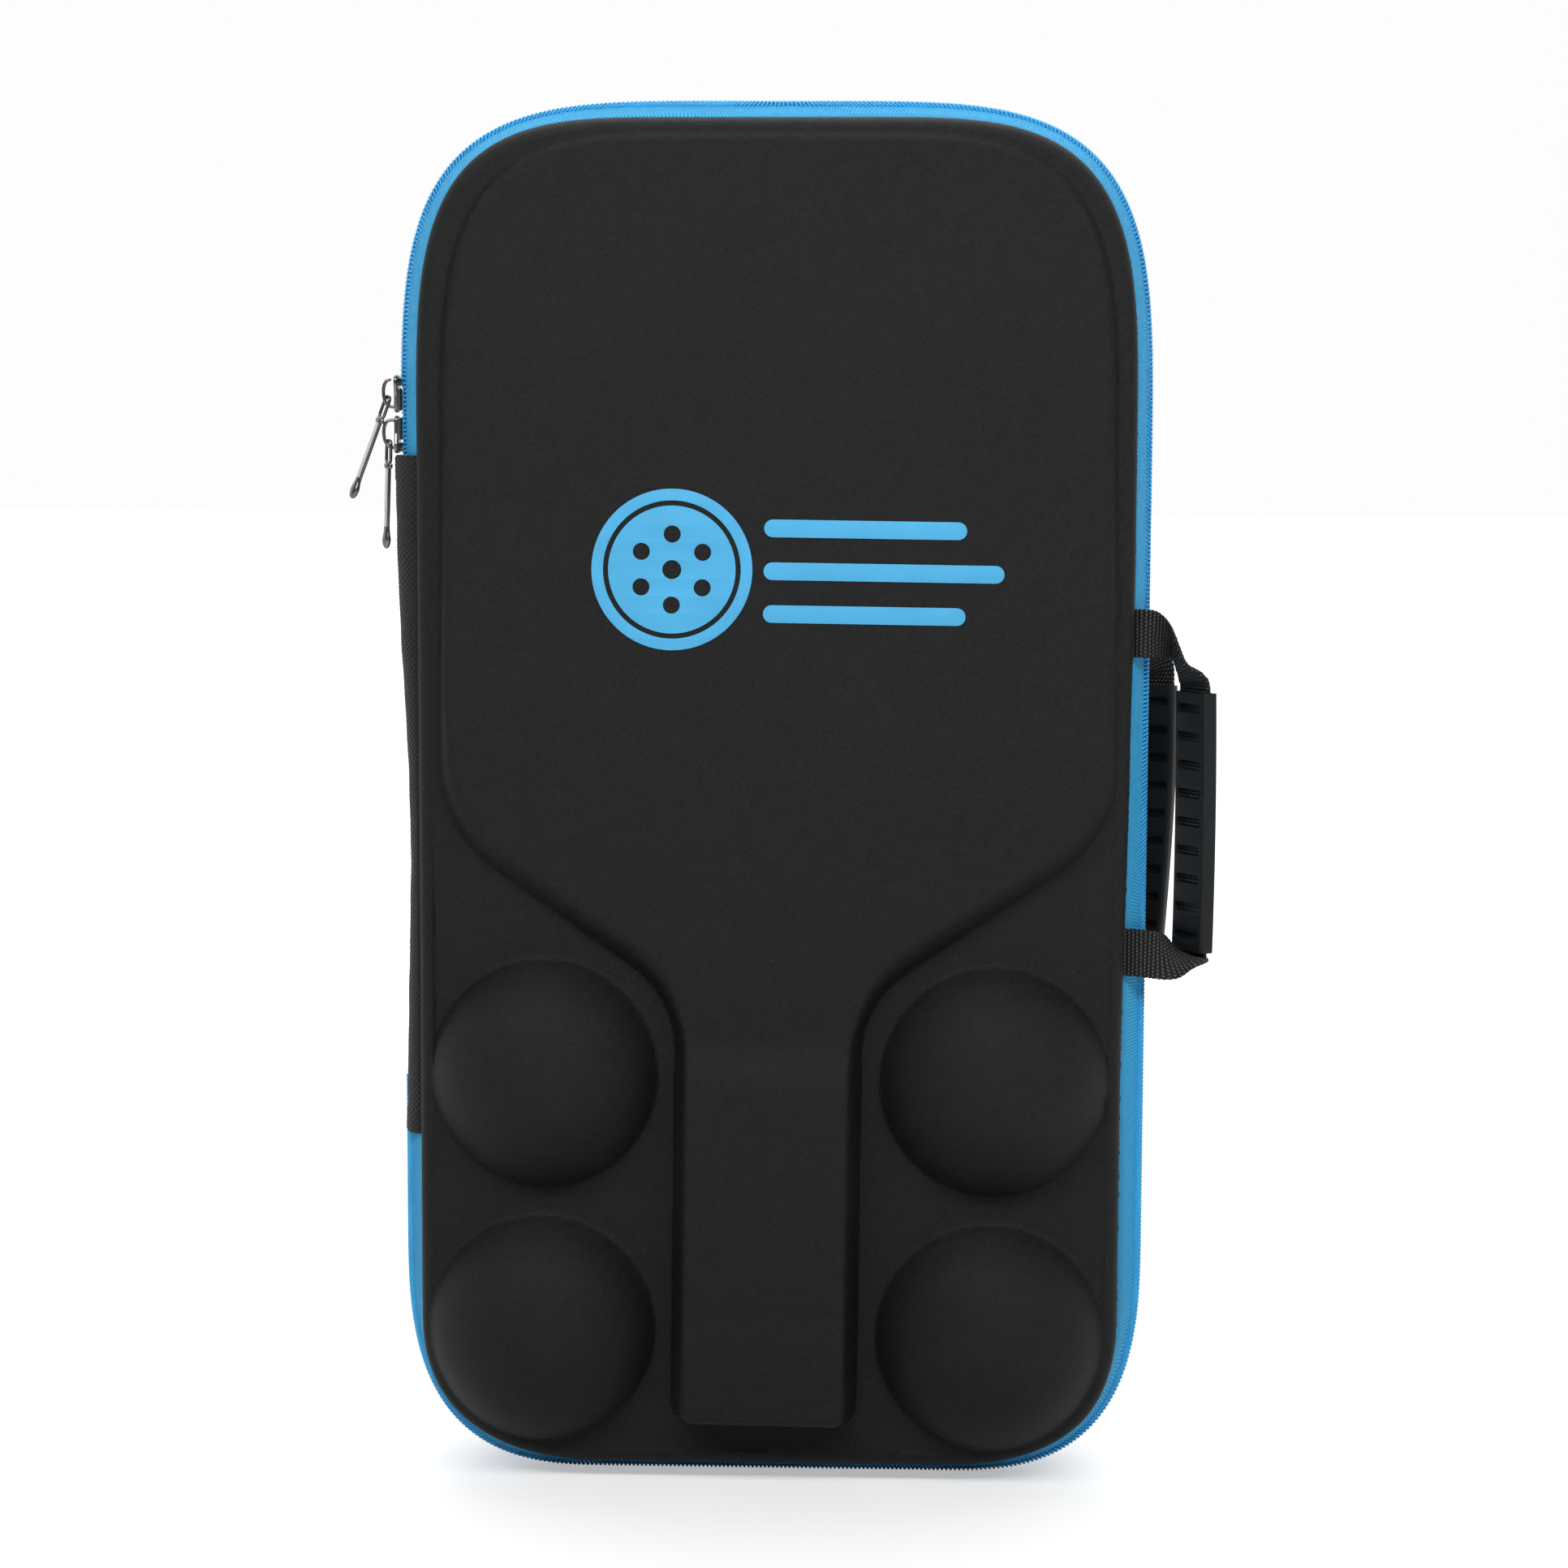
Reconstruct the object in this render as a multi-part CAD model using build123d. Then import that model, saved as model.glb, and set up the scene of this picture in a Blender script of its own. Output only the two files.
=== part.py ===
from build123d import *
import math
import os

os.makedirs("parts", exist_ok=True)

# ---------------------------------------------------------------------------
# Moulded hard case for a racket-sport paddle and four balls (millimetres).
# Two mirrored moulded shells, a coil zip round three and a half sides, a woven
# spine strip as the hinge on the -X side, two sliders with pulls at the upper
# end of the strip, and one carry handle per shell on the +X side.
# +Z up, front face towards -Y, seam plane y = 0, case stands on z = 0.
# Half-shells are drawn in (x, height, depth), depth measured from the seam.
# ---------------------------------------------------------------------------

# --- moulded shells
SHELL_HW = 114.2        # half width of a shell at its rim
SHELL_LO = 5.9          # lowest point of the rim
SHELL_HI = 440.1        # highest point of the rim
R_TOP = 50.0            # rim corner radius, top
R_BOT = 45.0            # rim corner radius, bottom
RIM_D = 8.6             # depth of the rim plane
BASE_D = 18.5           # depth of the flat round the balls
BASE_FILLET = 4.5
WALL = 3.5              # fabric-faced foam wall
LINING = 0.6            # brushed lining inside it
FEATURE_TILT = 0.65     # the moulded paddle and balls lean this much in the outline
FEATURE_X = 0.3

# --- paddle relief
BLADE_TOP = 435.6
BLADE_HW_TOP = 107.0
BLADE_HW_LOW = 108.4
V_LOW = 213.6           # where the V would meet the blade's side
THROAT_Z = 160.1
HANDLE_HW = 29.6
HANDLE_BOT = 20.2
BLADE_D_TOP = 20.5      # relief depth at the top of the blade
BLADE_D_LOW = 26.0      # relief depth from here down
BLADE_SLOPE_Z = 235.0
HANDLE_D = 31.5
BUTT_D = 32.5

# --- ball domes
BALL_WALL_R = 40.9
BALLS = [(-72.6, 134.6), (72.4, 134.6), (-72.8, 50.5), (72.4, 50.5)]

# --- zip
CHAIN_S0, CHAIN_S1 = 3.6, 5.9     # coil, measured outward from the rim outline
SIDE_SPREAD = 1.085               # tape is a little wider at the sides
CHAIN_D = 3.0
CHAIN_GAP = 0.15
TAPE_T = 0.55
SEW_IN = 6.0                      # width of tape sewn behind the rim
FOOT_HX = 68.0                    # flattened part at the bottom
STRIP_LO, STRIP_HI = 112.8, 334.0 # spine strip
SLIDER_L = 12.0
SLIDER_U_Z = 353.3                # slider centres
SLIDER_L_Z = 340.3
SLIDER_TRAVEL = 12.0
PULL_LEAN = 19.6         # the upper pull leans outward over the lower one
PARK_HI = 360.2
AXIS_X = -123.0                   # lid hinge line, just outside the coil
SLIDER_CLEAR_R = 7.9
STRIP_CLEAR_R = 9.9

# --- handles
GRIP_W, GRIP_T, GRIP_LO, GRIP_HI = 16.5, 5.4, 173.4, 258.0
WEB_W, WEB_T = 15.4, 1.3
GRIP_SLOTS = 9
SLOT_W, SLOT_H, SLOT_PITCH = 12.6, 3.0, 9.3
HANDLE_AXIS = (114.9, 9.4)

FRONT = Plane.XZ


def tilt(sk):
    """Lean the moulded features in the shell's plane about its middle."""
    c = (SHELL_LO + SHELL_HI) / 2
    return Pos(FEATURE_X, c, 0) * Rot(0, 0, -FEATURE_TILT) * Pos(0, -c, 0) * sk


def tilt_pt(x, z):
    c = (SHELL_LO + SHELL_HI) / 2
    a = math.radians(-FEATURE_TILT)
    dx, dz = x, z - c
    return FEATURE_X + dx * math.cos(a) - dz * math.sin(a), c + dx * math.sin(a) + dz * math.cos(a)


def outline(s=0.0, spread=True):
    """Rounded outline, s outward from the rim. Larger radii at the top."""
    hw = SHELL_HW + (s * SIDE_SPREAD if (spread and s > 0) else s)
    lo, hi = SHELL_LO - s, SHELL_HI + s
    rt, rb = R_TOP + s, R_BOT + s
    p = Polyline((-hw, lo), (hw, lo), (hw, hi), (-hw, hi), close=True)
    f = make_face(p)
    top = [v for v in f.vertices() if v.Y > 200]
    bot = [v for v in f.vertices() if v.Y < 200]
    f = fillet(top, rt)
    bot = [v for v in f.vertices() if v.Y < 200]
    return fillet(bot, rb)


def prism(face, d0, d1):
    return Pos(0, 0, d0) * extrude(face, d1 - d0)


def blade_face(t=0.0):
    """Blade of the relief, inset by t."""
    a = math.atan2(V_LOW - THROAT_Z, BLADE_HW_LOW - HANDLE_HW)
    dz = t / math.cos(a)
    hwt, hwl = BLADE_HW_TOP - t, BLADE_HW_LOW - t
    vz = V_LOW + dz - t * math.tan(a)
    cz = THROAT_Z + dz - HANDLE_HW * math.tan(a)
    pts = [(0, cz), (hwl, vz), (hwt, BLADE_TOP - t), (-hwt, BLADE_TOP - t), (-hwl, vz)]
    f = make_face(Polyline(*pts, close=True))
    f = fillet([v for v in f.vertices() if v.Y > 400], 46 - t)
    f = fillet([v for v in f.vertices() if 180 < v.Y < 260], 42 - t)
    return f


def blade_solid(t=0.0, edge=4.0):
    d0 = RIM_D + 1.0 if t == 0 else RIM_D - 2.0
    body = prism(blade_face(t), d0, 30.0)
    # sloping front: shallow at the top, full depth at BLADE_SLOPE_Z and below
    lo, hi = BLADE_D_LOW - t, BLADE_D_TOP - t
    k = (lo - hi) / (BLADE_TOP - BLADE_SLOPE_Z)
    prof = make_face(Polyline((100, lo), (BLADE_SLOPE_Z, lo), (470, lo - k * (470 - BLADE_SLOPE_Z)), (470, 60), (100, 60), close=True))
    cutter = Pos(-150, 0, 0) * extrude(Plane.YZ * prof, 300)
    body = body - cutter
    if edge > 0:
        es = [e for e in body.edges() if e.bounding_box().min.Z > 17.5 - t]
        es = [e for e in es if not (abs(e.center().Y - BLADE_SLOPE_Z) < 0.5 and abs(e.center().X) < 1)]
        body = fillet(es, edge)
    return body


def handle_solid(t=0.0, edge=4.5):
    d0 = RIM_D + 1.0 if t == 0 else RIM_D - 2.0
    hw = HANDLE_HW - t
    prof = make_face(Polyline((HANDLE_BOT + t, d0), (HANDLE_BOT + t, BUTT_D - t), (50.0, BUTT_D - t), (57.0, HANDLE_D - t),
                              (133.0, HANDLE_D - t), (147.0, BLADE_D_LOW - t), (168.0, BLADE_D_LOW - t), (168.0, d0), close=True))
    body = Pos(-hw, 0, 0) * extrude(Plane.YZ * prof, 2 * hw)
    corners = [e for e in body.edges() if e.bounding_box().size.Z > 10 and e.center().Y < 40]
    body = fillet(corners, max(7.0 - t, 2.0))
    if edge > 0:
        es = [e for e in body.edges() if e.bounding_box().min.Z > BLADE_D_LOW - t - 0.2 and abs(e.center().X) > hw - 9 and e.center().Y < 150]
        try:
            body = fillet(es, edge)
        except Exception:
            pass
    return body


def half_solid(t, edge_fillets=True):
    """Outer (t = 0) or inner (t = wall) volume of one half-shell."""
    d0 = RIM_D if t == 0 else RIM_D - 1.0
    base = prism(outline(-t), d0, BASE_D - t)
    top = [e for e in base.edges() if e.bounding_box().min.Z > BASE_D - t - 0.1]
    base = fillet(top, BASE_FILLET if t == 0 else max(BASE_FILLET - t, 0.8))
    out = base + tilt(blade_solid(t, 4.0 if t == 0 else 0.0)) + tilt(handle_solid(t, 4.5 if t == 0 else 0.0))
    clip = prism(outline(-t - 0.02), d0, 60.0)
    for bx, bz in BALLS:
        px, pz = tilt_pt(bx, bz)
        ball = Pos(px, pz, 0) * Sphere(BALL_WALL_R - t)
        out = out + (ball & clip)
    return out


outer = half_solid(0.0)
inner = half_solid(WALL)
inner2 = half_solid(WALL + LINING)

shell = outer - inner
rim_trim = prism(outline(20), -10, RIM_D)
lining = (inner - inner2) - rim_trim


def as_one(s):
    """The biggest solid of a boolean result."""
    ss = sorted(s.solids(), key=lambda q: -q.volume)
    return ss[0]


shell = as_one(shell)
lining = as_one(lining)


def front(s):
    return FRONT * s


def back(s):
    return mirror(FRONT * s, about=Plane.XZ)


# --- zip tape: sewn strip behind the rim, then sloping out to the coil
def ring(s0, s1, d0, d1):
    return prism(outline(s1), d0, d1) - prism(outline(s0), d0 - 1, d1 + 1)


def cone(s_in, d_in, s_out, d_out):
    a = Pos(0, 0, d_out) * outline(s_out)
    b = Pos(0, 0, d_in) * outline(s_in)
    return loft([a.face() if hasattr(a, "face") else a, b.face() if hasattr(b, "face") else b], ruled=True)


TAPE_D = RIM_D - 0.05
slope = cone(0.25, TAPE_D, CHAIN_S1 - 0.1, CHAIN_D) - cone(-0.35, TAPE_D + 0.001, CHAIN_S1 - 0.8, CHAIN_D - 0.001)
tape = slope + ring(-SEW_IN, 0.2, TAPE_D - TAPE_T, TAPE_D)
foot = make_face(Polyline((CHAIN_D, 0.0), (TAPE_D, 0.0), (TAPE_D, SHELL_LO - 0.3), (CHAIN_D, 1.0), close=True))
# the foot profile is (depth, height): extrude along x
foot = Pos(-FOOT_HX, 0, 0) * extrude(Plane(origin=(0, 0, 0), x_dir=(0, 0, 1), z_dir=(1, 0, 0)) * Rot(0, 0, 0) * mirror(foot, about=Plane.XZ), 2 * FOOT_HX)
if foot.bounding_box().center().Y < 0:
    foot = mirror(foot, about=Plane.XZ)
tape = tape + foot

coil = ring(CHAIN_S0, CHAIN_S1, CHAIN_GAP, CHAIN_D - 0.02)


def cyl_clear(r, z0, z1):
    """Clearance about the lid hinge line, in (x, height, depth)."""
    return Pos(AXIS_X, (z0 + z1) / 2, 0) * Rot(90, 0, 0) * Cylinder(r, z1 - z0)


def block(x0, x1, y0, y1, z0, z1):
    return Pos((x0 + x1) / 2, (y0 + y1) / 2, (z0 + z1) / 2) * Box(x1 - x0, y1 - y0, z1 - z0)


strip_zone = cyl_clear(STRIP_CLEAR_R + 0.35, STRIP_LO - 0.4, STRIP_HI + 0.2)
slider_zone = cyl_clear(SLIDER_CLEAR_R, STRIP_HI, PARK_HI)
post_slot = block(-125, -115, PARK_HI - 1, PARK_HI + SLIDER_TRAVEL + 0.6, -0.8, 0.8)
tape = as_one(tape - strip_zone - slider_zone)
coil_keep = coil - block(-130, -100, STRIP_LO - 0.4, PARK_HI, -1, 20) - post_slot
coil = as_one(coil_keep)

# --- binding that covers the raw edges inside, sewn on the seam side of the tape
binding = ring(-8.2, -SEW_IN + 1.2, TAPE_D - TAPE_T - 1.0, TAPE_D - TAPE_T)
binding = as_one(binding - cyl_clear(STRIP_CLEAR_R + 0.35, STRIP_LO - 0.4, STRIP_HI + 0.2))


# --- webbing ends sewn under the rim, and the notch they sit in
def web_end(z):
    return block(109.4, 114.0, z - WEB_W / 2, z + WEB_W / 2, RIM_D + 0.1, RIM_D + 0.1 + WEB_T)


WEB_Z = (278.0, 175.0)
notch = [block(109.2, 116.0, z - WEB_W / 2 - 0.15, z + WEB_W / 2 + 0.15, RIM_D - 1, RIM_D + 0.15 + WEB_T) for z in WEB_Z]
for n in notch:
    shell = shell - n
    lining = lining - n
shell = as_one(shell)
lining = as_one(lining)
sewn_ends = [web_end(z) for z in WEB_Z]

# --- printed mark on the blade: a ball with holes and three bars
k_slope = math.degrees(math.atan2(BLADE_D_LOW - BLADE_D_TOP, BLADE_TOP - BLADE_SLOPE_Z))
mark = Pos(-38, 0) * (Circle(25.5) - Circle(21.8)) + Pos(-38, 0) * Circle(20.2)
holes = [Pos(-38, 0) * Circle(3.0)]
for i in range(6):
    a = math.radians(60 * i + 30)
    holes.append(Pos(-38 + 11.2 * math.cos(a), 11.2 * math.sin(a)) * Circle(2.7))
for h in holes:
    mark = mark - h
bars = [Pos(23, 13.5) * SlotOverall(64, 5.6), Pos(29, 0) * SlotOverall(76, 5.6), Pos(23, -13.5) * SlotOverall(64, 5.6)]
for b in bars:
    mark = mark + b
MARK_Z = 298.0
mark_d = BLADE_D_LOW - (MARK_Z - BLADE_SLOPE_Z) * math.tan(math.radians(k_slope))
mark_solid = tilt(Pos(4.0, MARK_Z, mark_d) * Rot(-k_slope, 0, 0) * Pos(0, 0, 0.01) * extrude(mark, 0.22))

# --- spine strip: a curved woven strip bridging the two rims
n_seg = 8
arc_o = ThreePointArc((-117.6, -8.15), (-121.7, 0), (-117.6, 8.15))
arc_i = ThreePointArc((-116.7, -7.55), (-120.6, 0), (-116.7, 7.55))
strip_face = make_face([arc_o, Line(arc_o @ 1, arc_i @ 1), arc_i, Line(arc_i @ 0, arc_o @ 0)])
spine_strip = Pos(0, 0, STRIP_LO) * extrude(strip_face, STRIP_HI - 0.3 - STRIP_LO)


# --- sliders: two wing plates, a post between them, flared end with side lips
def slider(zc, flip):
    """flip = +1: flared end up. The pull side faces -X."""
    L = SLIDER_L
    wide, slim = 4.5, 3.3
    xo0, xo1 = -122.55, -121.25      # outer plate
    xi0, xi1 = -117.55, -116.55      # inner plate
    outer_pl = make_face(Polyline((-slim, -L / 2), (slim, -L / 2), (slim, L * 0.10), (wide, L * 0.28), (wide, L / 2),
                                  (-wide, L / 2), (-wide, L * 0.28), (-slim, L * 0.10), close=True))
    outer_pl = fillet(outer_pl.vertices(), 0.8)
    pl = Plane(origin=(0, 0, 0), x_dir=(0, 1, 0), z_dir=(1, 0, 0))
    a = Pos(xo0, 0, 0) * extrude(pl * outer_pl, xo1 - xo0)
    b = Pos(xi0, 0, 0) * extrude(pl * scale(outer_pl, by=(0.93, 1, 1)), xi1 - xi0)
    post = Pos((xo1 + xi0) / 2, 0, L * 0.30) * Box(xi0 - xo1 + 0.4, 1.1, 3.4)
    lipl = Pos(-121.0, 4.1, L * 0.39) * Box(0.7, 0.8, L * 0.2)
    lipr = Pos(-121.0, -4.1, L * 0.39) * Box(0.7, 0.8, L * 0.2)
    s = a + b + post + lipl + lipr
    if flip < 0:
        s = Rot(180, 0, 0) * s
    return Pos(0, 0, zc) * s


def crown(zc, flip):
    """Hook on the outer plate that holds the pull; open gap at its free end."""
    # drawn in (x, z) relative to the slider centre, outward is -x
    o = Polyline((-122.6, -4.9), (-124.6, -4.9), (-126.9, -2.0), (-126.9, 3.0), (-125.2, 5.0), (-123.9, 5.0), (-123.9, 3.85),
                 (-124.9, 3.6), (-125.7, 2.4), (-125.7, -1.5), (-124.4, -3.5), (-122.6, -3.5), close=True)
    f = make_face(o)
    f = fillet([v for v in f.vertices() if v.X < -124.5], 0.5)
    c = extrude(Plane.XZ * f, 0.85, both=True)
    if flip < 0:
        c = Rot(180, 0, 0) * c
    return Pos(0, 0, zc) * c


# upper slider: hook fixed low, free end up; lower slider the other way up
slider_u = slider(SLIDER_U_Z, +1)
crown_u = crown(SLIDER_U_Z, +1)
slider_l = slider(SLIDER_L_Z, -1)
crown_l = crown(SLIDER_L_Z, -1)


# --- pulls: slotted loop, slim bar, leaf tip; hangs from (0, 0) along -z
def pull():
    w, t = 4.2, 1.0
    loop = Pos(0, 0, -3.6) * Box(t, w, 8.4) - Pos(0, 0, -3.85) * Box(3, 2.7, 6.7)
    # the top bar of the loop runs through the hook
    bar = Pos(0, 0, -19.0) * Box(t, 3.4, 22.6)
    sh = Pos(0, 0, -8.1) * Box(t + 0.2, 4.9, 1.2)
    leaf = make_face([ThreePointArc((0, 3.1), (2.1, -0.6), (0, -3.1)), ThreePointArc((0, -3.1), (-2.1, -0.6), (0, 3.1))])
    tip = Pos(0, 0, -31.4) * extrude(Plane.YZ * leaf, 1.15, both=True)
    return loop + bar + sh + tip


PULL_U = (-124.75, 352.3)
PULL_L = (-124.7, 338.3)
pull_base = pull()
pull_u = Pos(PULL_U[0], 0, PULL_U[1]) * Rot(0, PULL_LEAN, 0) * Rot(0, 0, 20) * pull_base
pull_l = Pos(PULL_L[0], 0, PULL_L[1]) * Rot(0, 0, -20) * pull_base


# --- handles: a webbing ribbon through a soft slotted grip
def vsub(a, b):
    return (a[0] - b[0], a[1] - b[1], a[2] - b[2])


def norm(a):
    l = math.sqrt(sum(q * q for q in a))
    return (a[0] / l, a[1] / l, a[2] / l)


def cross(a, b):
    return (a[1] * b[2] - a[2] * b[1], a[2] * b[0] - a[0] * b[2], a[0] * b[1] - a[1] * b[0])


def ribbon(A, B, T=WEB_T):
    """Ribbon solid from its two edge lines, one face loft per span."""
    n = len(A)
    mids = [tuple((a[i] + b[i]) / 2 for i in range(3)) for a, b in zip(A, B)]
    faces = []
    prev = None
    for i in range(n):
        tng = vsub(mids[min(i + 1, n - 1)], mids[max(i - 1, 0)])
        w = norm(vsub(A[i], B[i]))
        nn = norm(cross(tng, w))
        if prev and sum(p * q for p, q in zip(prev, nn)) < 0:
            nn = tuple(-q for q in nn)
        prev = nn
        c, h = mids[i], WEB_W / 2
        cs = []
        for sw, st in ((-1, -1), (1, -1), (1, 1), (-1, 1)):
            cs.append(tuple(c[k] + w[k] * sw * h + nn[k] * st * T / 2 for k in range(3)))
        faces.append(cs)
    polys = [make_face(Polyline(*[Vector(*p) for p in cs], close=True)).face() for cs in faces]
    return loft(polys, ruled=True)


def grip(cx, cy, ang):
    """Sleeve with a flat hollow; slots on the face towards the case."""
    g = extrude(RectangleRounded(GRIP_T, GRIP_W, 1.3), GRIP_HI - GRIP_LO)
    g = g - Pos(0, 0, -1) * extrude(RectangleRounded(1.9, 15.7, 0.3), GRIP_HI - GRIP_LO + 2)
    mid = (GRIP_HI - GRIP_LO) / 2
    for i in range(GRIP_SLOTS):
        z = mid + (i - (GRIP_SLOTS - 1) / 2) * SLOT_PITCH
        g = g - Pos(-GRIP_T / 2, 0, z) * Rot(0, -90, 0) * extrude(Rot(0, 0, 90) * SlotOverall(SLOT_W, SLOT_H), 2.2, both=True)
    return Pos(cx, cy, GRIP_LO) * Rot(0, 0, ang) * g


# front handle: swung 33 degrees back from straight out
GF, AF = (136.3, 5.9), 33.0
uf = (math.sin(math.radians(AF)), -math.cos(math.radians(AF)))
Af = (GF[0] + uf[0] * 7.7, GF[1] + uf[1] * 7.7)
Bf = (GF[0] - uf[0] * 7.7, GF[1] - uf[1] * 7.7)
ax_f = (HANDLE_AXIS[0], -HANDLE_AXIS[1])
front_A = [(115.6, -9.4, 285.7), (118.5, -9.8, 285.7), (122.6, -10.5, 285.0), (126.6, -11.0, 281.0), (129.6, -9.5, 273.6),
           (132.4, -6.8, 268.0), (138.0, -3.6, 264.4), (Af[0], Af[1], 258.4), (Af[0], Af[1], 173.0),
           (140.9, -2.2, 169.6), (140.0, -8.6, 167.6), (133.5, -10.6, 166.0), (125.0, -10.4, 166.8), (118.5, -9.8, 167.3), (115.6, -9.4, 167.3)]
front_B = [(115.6, -9.4, 270.3), (118.5, -9.8, 270.3), (122.6, -5.8, 270.4), (126.6, -0.6, 270.0), (129.0, 5.2, 269.0),
           (130.6, 8.2, 265.0), (131.3, 10.0, 261.6), (Bf[0], Bf[1], 258.4), (Bf[0], Bf[1], 173.0),
           (131.6, 9.6, 169.2), (129.6, 0.4, 174.0), (126.3, -6.6, 178.8), (123.4, -9.6, 182.0), (118.5, -9.8, 182.7), (115.6, -9.4, 182.7)]
front_web = ribbon(front_A, front_B)
front_grip = grip(GF[0], GF[1], AF)

# back handle: swung further back
GB, AB = (123.9, 32.5), 68.8
ub = (math.sin(math.radians(AB)), -math.cos(math.radians(AB)))
Ab = (GB[0] + ub[0] * 7.7, GB[1] + ub[1] * 7.7)
Bb = (GB[0] - ub[0] * 7.7, GB[1] - ub[1] * 7.7)
back_A = [(115.6, 9.4, 285.7), (118.4, 11.6, 285.2), (121.6, 17.0, 281.6), (126.0, 22.2, 275.0), (130.0, 27.4, 266.6),
          (Ab[0], Ab[1], 258.4), (Ab[0], Ab[1], 173.0), (131.0, 27.6, 169.6), (128.4, 21.6, 166.6), (123.4, 16.2, 166.2), (118.6, 11.8, 167.0), (115.6, 9.4, 167.3)]
back_B = [(115.6, 9.4, 270.3), (118.0, 12.0, 269.8), (118.7, 18.6, 267.0), (117.6, 25.4, 263.4), (116.8, 31.6, 261.0),
          (Bb[0], Bb[1], 258.4), (Bb[0], Bb[1], 173.0), (117.0, 33.2, 169.2), (117.4, 28.4, 174.2), (118.6, 19.8, 180.2), (118.2, 12.1, 182.3), (115.6, 9.4, 182.7)]
back_web = ribbon(back_A, back_B)
back_grip = grip(GB[0], GB[1], AB)


# --- write every node
def group(solids, label):
    ss = []
    for s in solids:
        ss.extend(s.solids())
    if len(ss) == 1:
        ss[0].label = label
        return ss[0]
    return Compound(label=label, children=ss)


nodes = {
    "front_shell": group([front(shell)], "front_shell"),
    "back_shell": group([back(shell)], "back_shell"),
    "front_lining": group([front(lining)], "front_lining"),
    "back_lining": group([back(lining)], "back_lining"),
    "front_zip_tape": group([front(tape)], "front_zip_tape"),
    "back_zip_tape": group([back(tape)], "back_zip_tape"),
    "front_zip_coil": group([front(coil)], "front_zip_coil"),
    "back_zip_coil": group([back(coil)], "back_zip_coil"),
    "front_seam_binding": group([front(binding)], "front_seam_binding"),
    "back_seam_binding": group([back(binding)], "back_seam_binding"),
    "front_mark": group([front(mark_solid)], "front_mark"),
    "front_handle_sewn_ends": group([front(s) for s in sewn_ends], "front_handle_sewn_ends"),
    "back_handle_sewn_ends": group([back(s) for s in sewn_ends], "back_handle_sewn_ends"),
    "spine_strip": group([spine_strip], "spine_strip"),
    "slider_upper_body": group([slider_u], "slider_upper_body"),
    "slider_upper_crown": group([crown_u], "slider_upper_crown"),
    "slider_lower_body": group([slider_l], "slider_lower_body"),
    "slider_lower_crown": group([crown_l], "slider_lower_crown"),
    "pull_upper": group([pull_u], "pull_upper"),
    "pull_lower": group([pull_l], "pull_lower"),
    "front_handle_webbing": group([front_web], "front_handle_webbing"),
    "front_handle_grip": group([front_grip], "front_handle_grip"),
    "back_handle_webbing": group([back_web], "back_handle_webbing"),
    "back_handle_grip": group([back_grip], "back_handle_grip"),
}
for name, s in nodes.items():
    export_step(s, os.path.join("parts", name + ".step"))
    bb = s.bounding_box()
    print(f"{name:26s} vol {s.volume:10.1f}  solids {len(s.solids())}  "
          f"x {bb.min.X:.1f}..{bb.max.X:.1f} y {bb.min.Y:.1f}..{bb.max.Y:.1f} z {bb.min.Z:.1f}..{bb.max.Z:.1f}")
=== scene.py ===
import math

import bpy
import numpy as np
from mathutils import Matrix, Vector, geometry


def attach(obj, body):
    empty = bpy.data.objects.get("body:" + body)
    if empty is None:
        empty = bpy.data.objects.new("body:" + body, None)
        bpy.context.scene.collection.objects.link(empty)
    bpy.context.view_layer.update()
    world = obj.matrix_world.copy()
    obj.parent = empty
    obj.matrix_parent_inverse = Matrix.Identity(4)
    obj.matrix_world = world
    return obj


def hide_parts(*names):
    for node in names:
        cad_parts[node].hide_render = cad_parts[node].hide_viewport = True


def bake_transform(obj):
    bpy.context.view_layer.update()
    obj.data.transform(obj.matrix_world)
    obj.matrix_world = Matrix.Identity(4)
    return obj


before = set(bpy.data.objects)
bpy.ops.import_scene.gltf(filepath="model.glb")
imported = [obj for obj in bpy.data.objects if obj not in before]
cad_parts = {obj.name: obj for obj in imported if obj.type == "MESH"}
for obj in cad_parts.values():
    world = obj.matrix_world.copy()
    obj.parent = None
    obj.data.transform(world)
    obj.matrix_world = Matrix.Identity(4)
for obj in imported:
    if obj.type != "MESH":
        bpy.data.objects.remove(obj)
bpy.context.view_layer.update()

# --------------------------------------------------------------------------
# Lengths are in millimetres until a mesh is made. x is across, z is up, and
# d is the distance from the seam plane: y = -d on the front, +d on the back.
# --------------------------------------------------------------------------
MM = 0.001
RIM_HW, RIM_LO, RIM_HI, RIM_D = 114.2, 5.9, 440.1, 8.6
SEAM_HW, SEAM_LO, SEAM_HI, SEAM_S = 120.5, 0.0, 446.0, 5.9
BASE_D, EDGE_R, WALL = 18.5, 4.5, 3.5
FX, PIV, TILT = 0.3, 223.0, math.radians(0.65)
BALL_R = 40.9
BALLS = [(-73.3, 135.4), (71.7, 133.8), (-74.4, 51.3), (70.8, 49.7)]
STRIP_LO, STRIP_HI = 112.8, 333.7


def smooth(a, b, x):
    t = np.clip((np.asarray(x, float) - a) / (b - a), 0, 1)
    return t * t * (3 - 2 * t)


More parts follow.
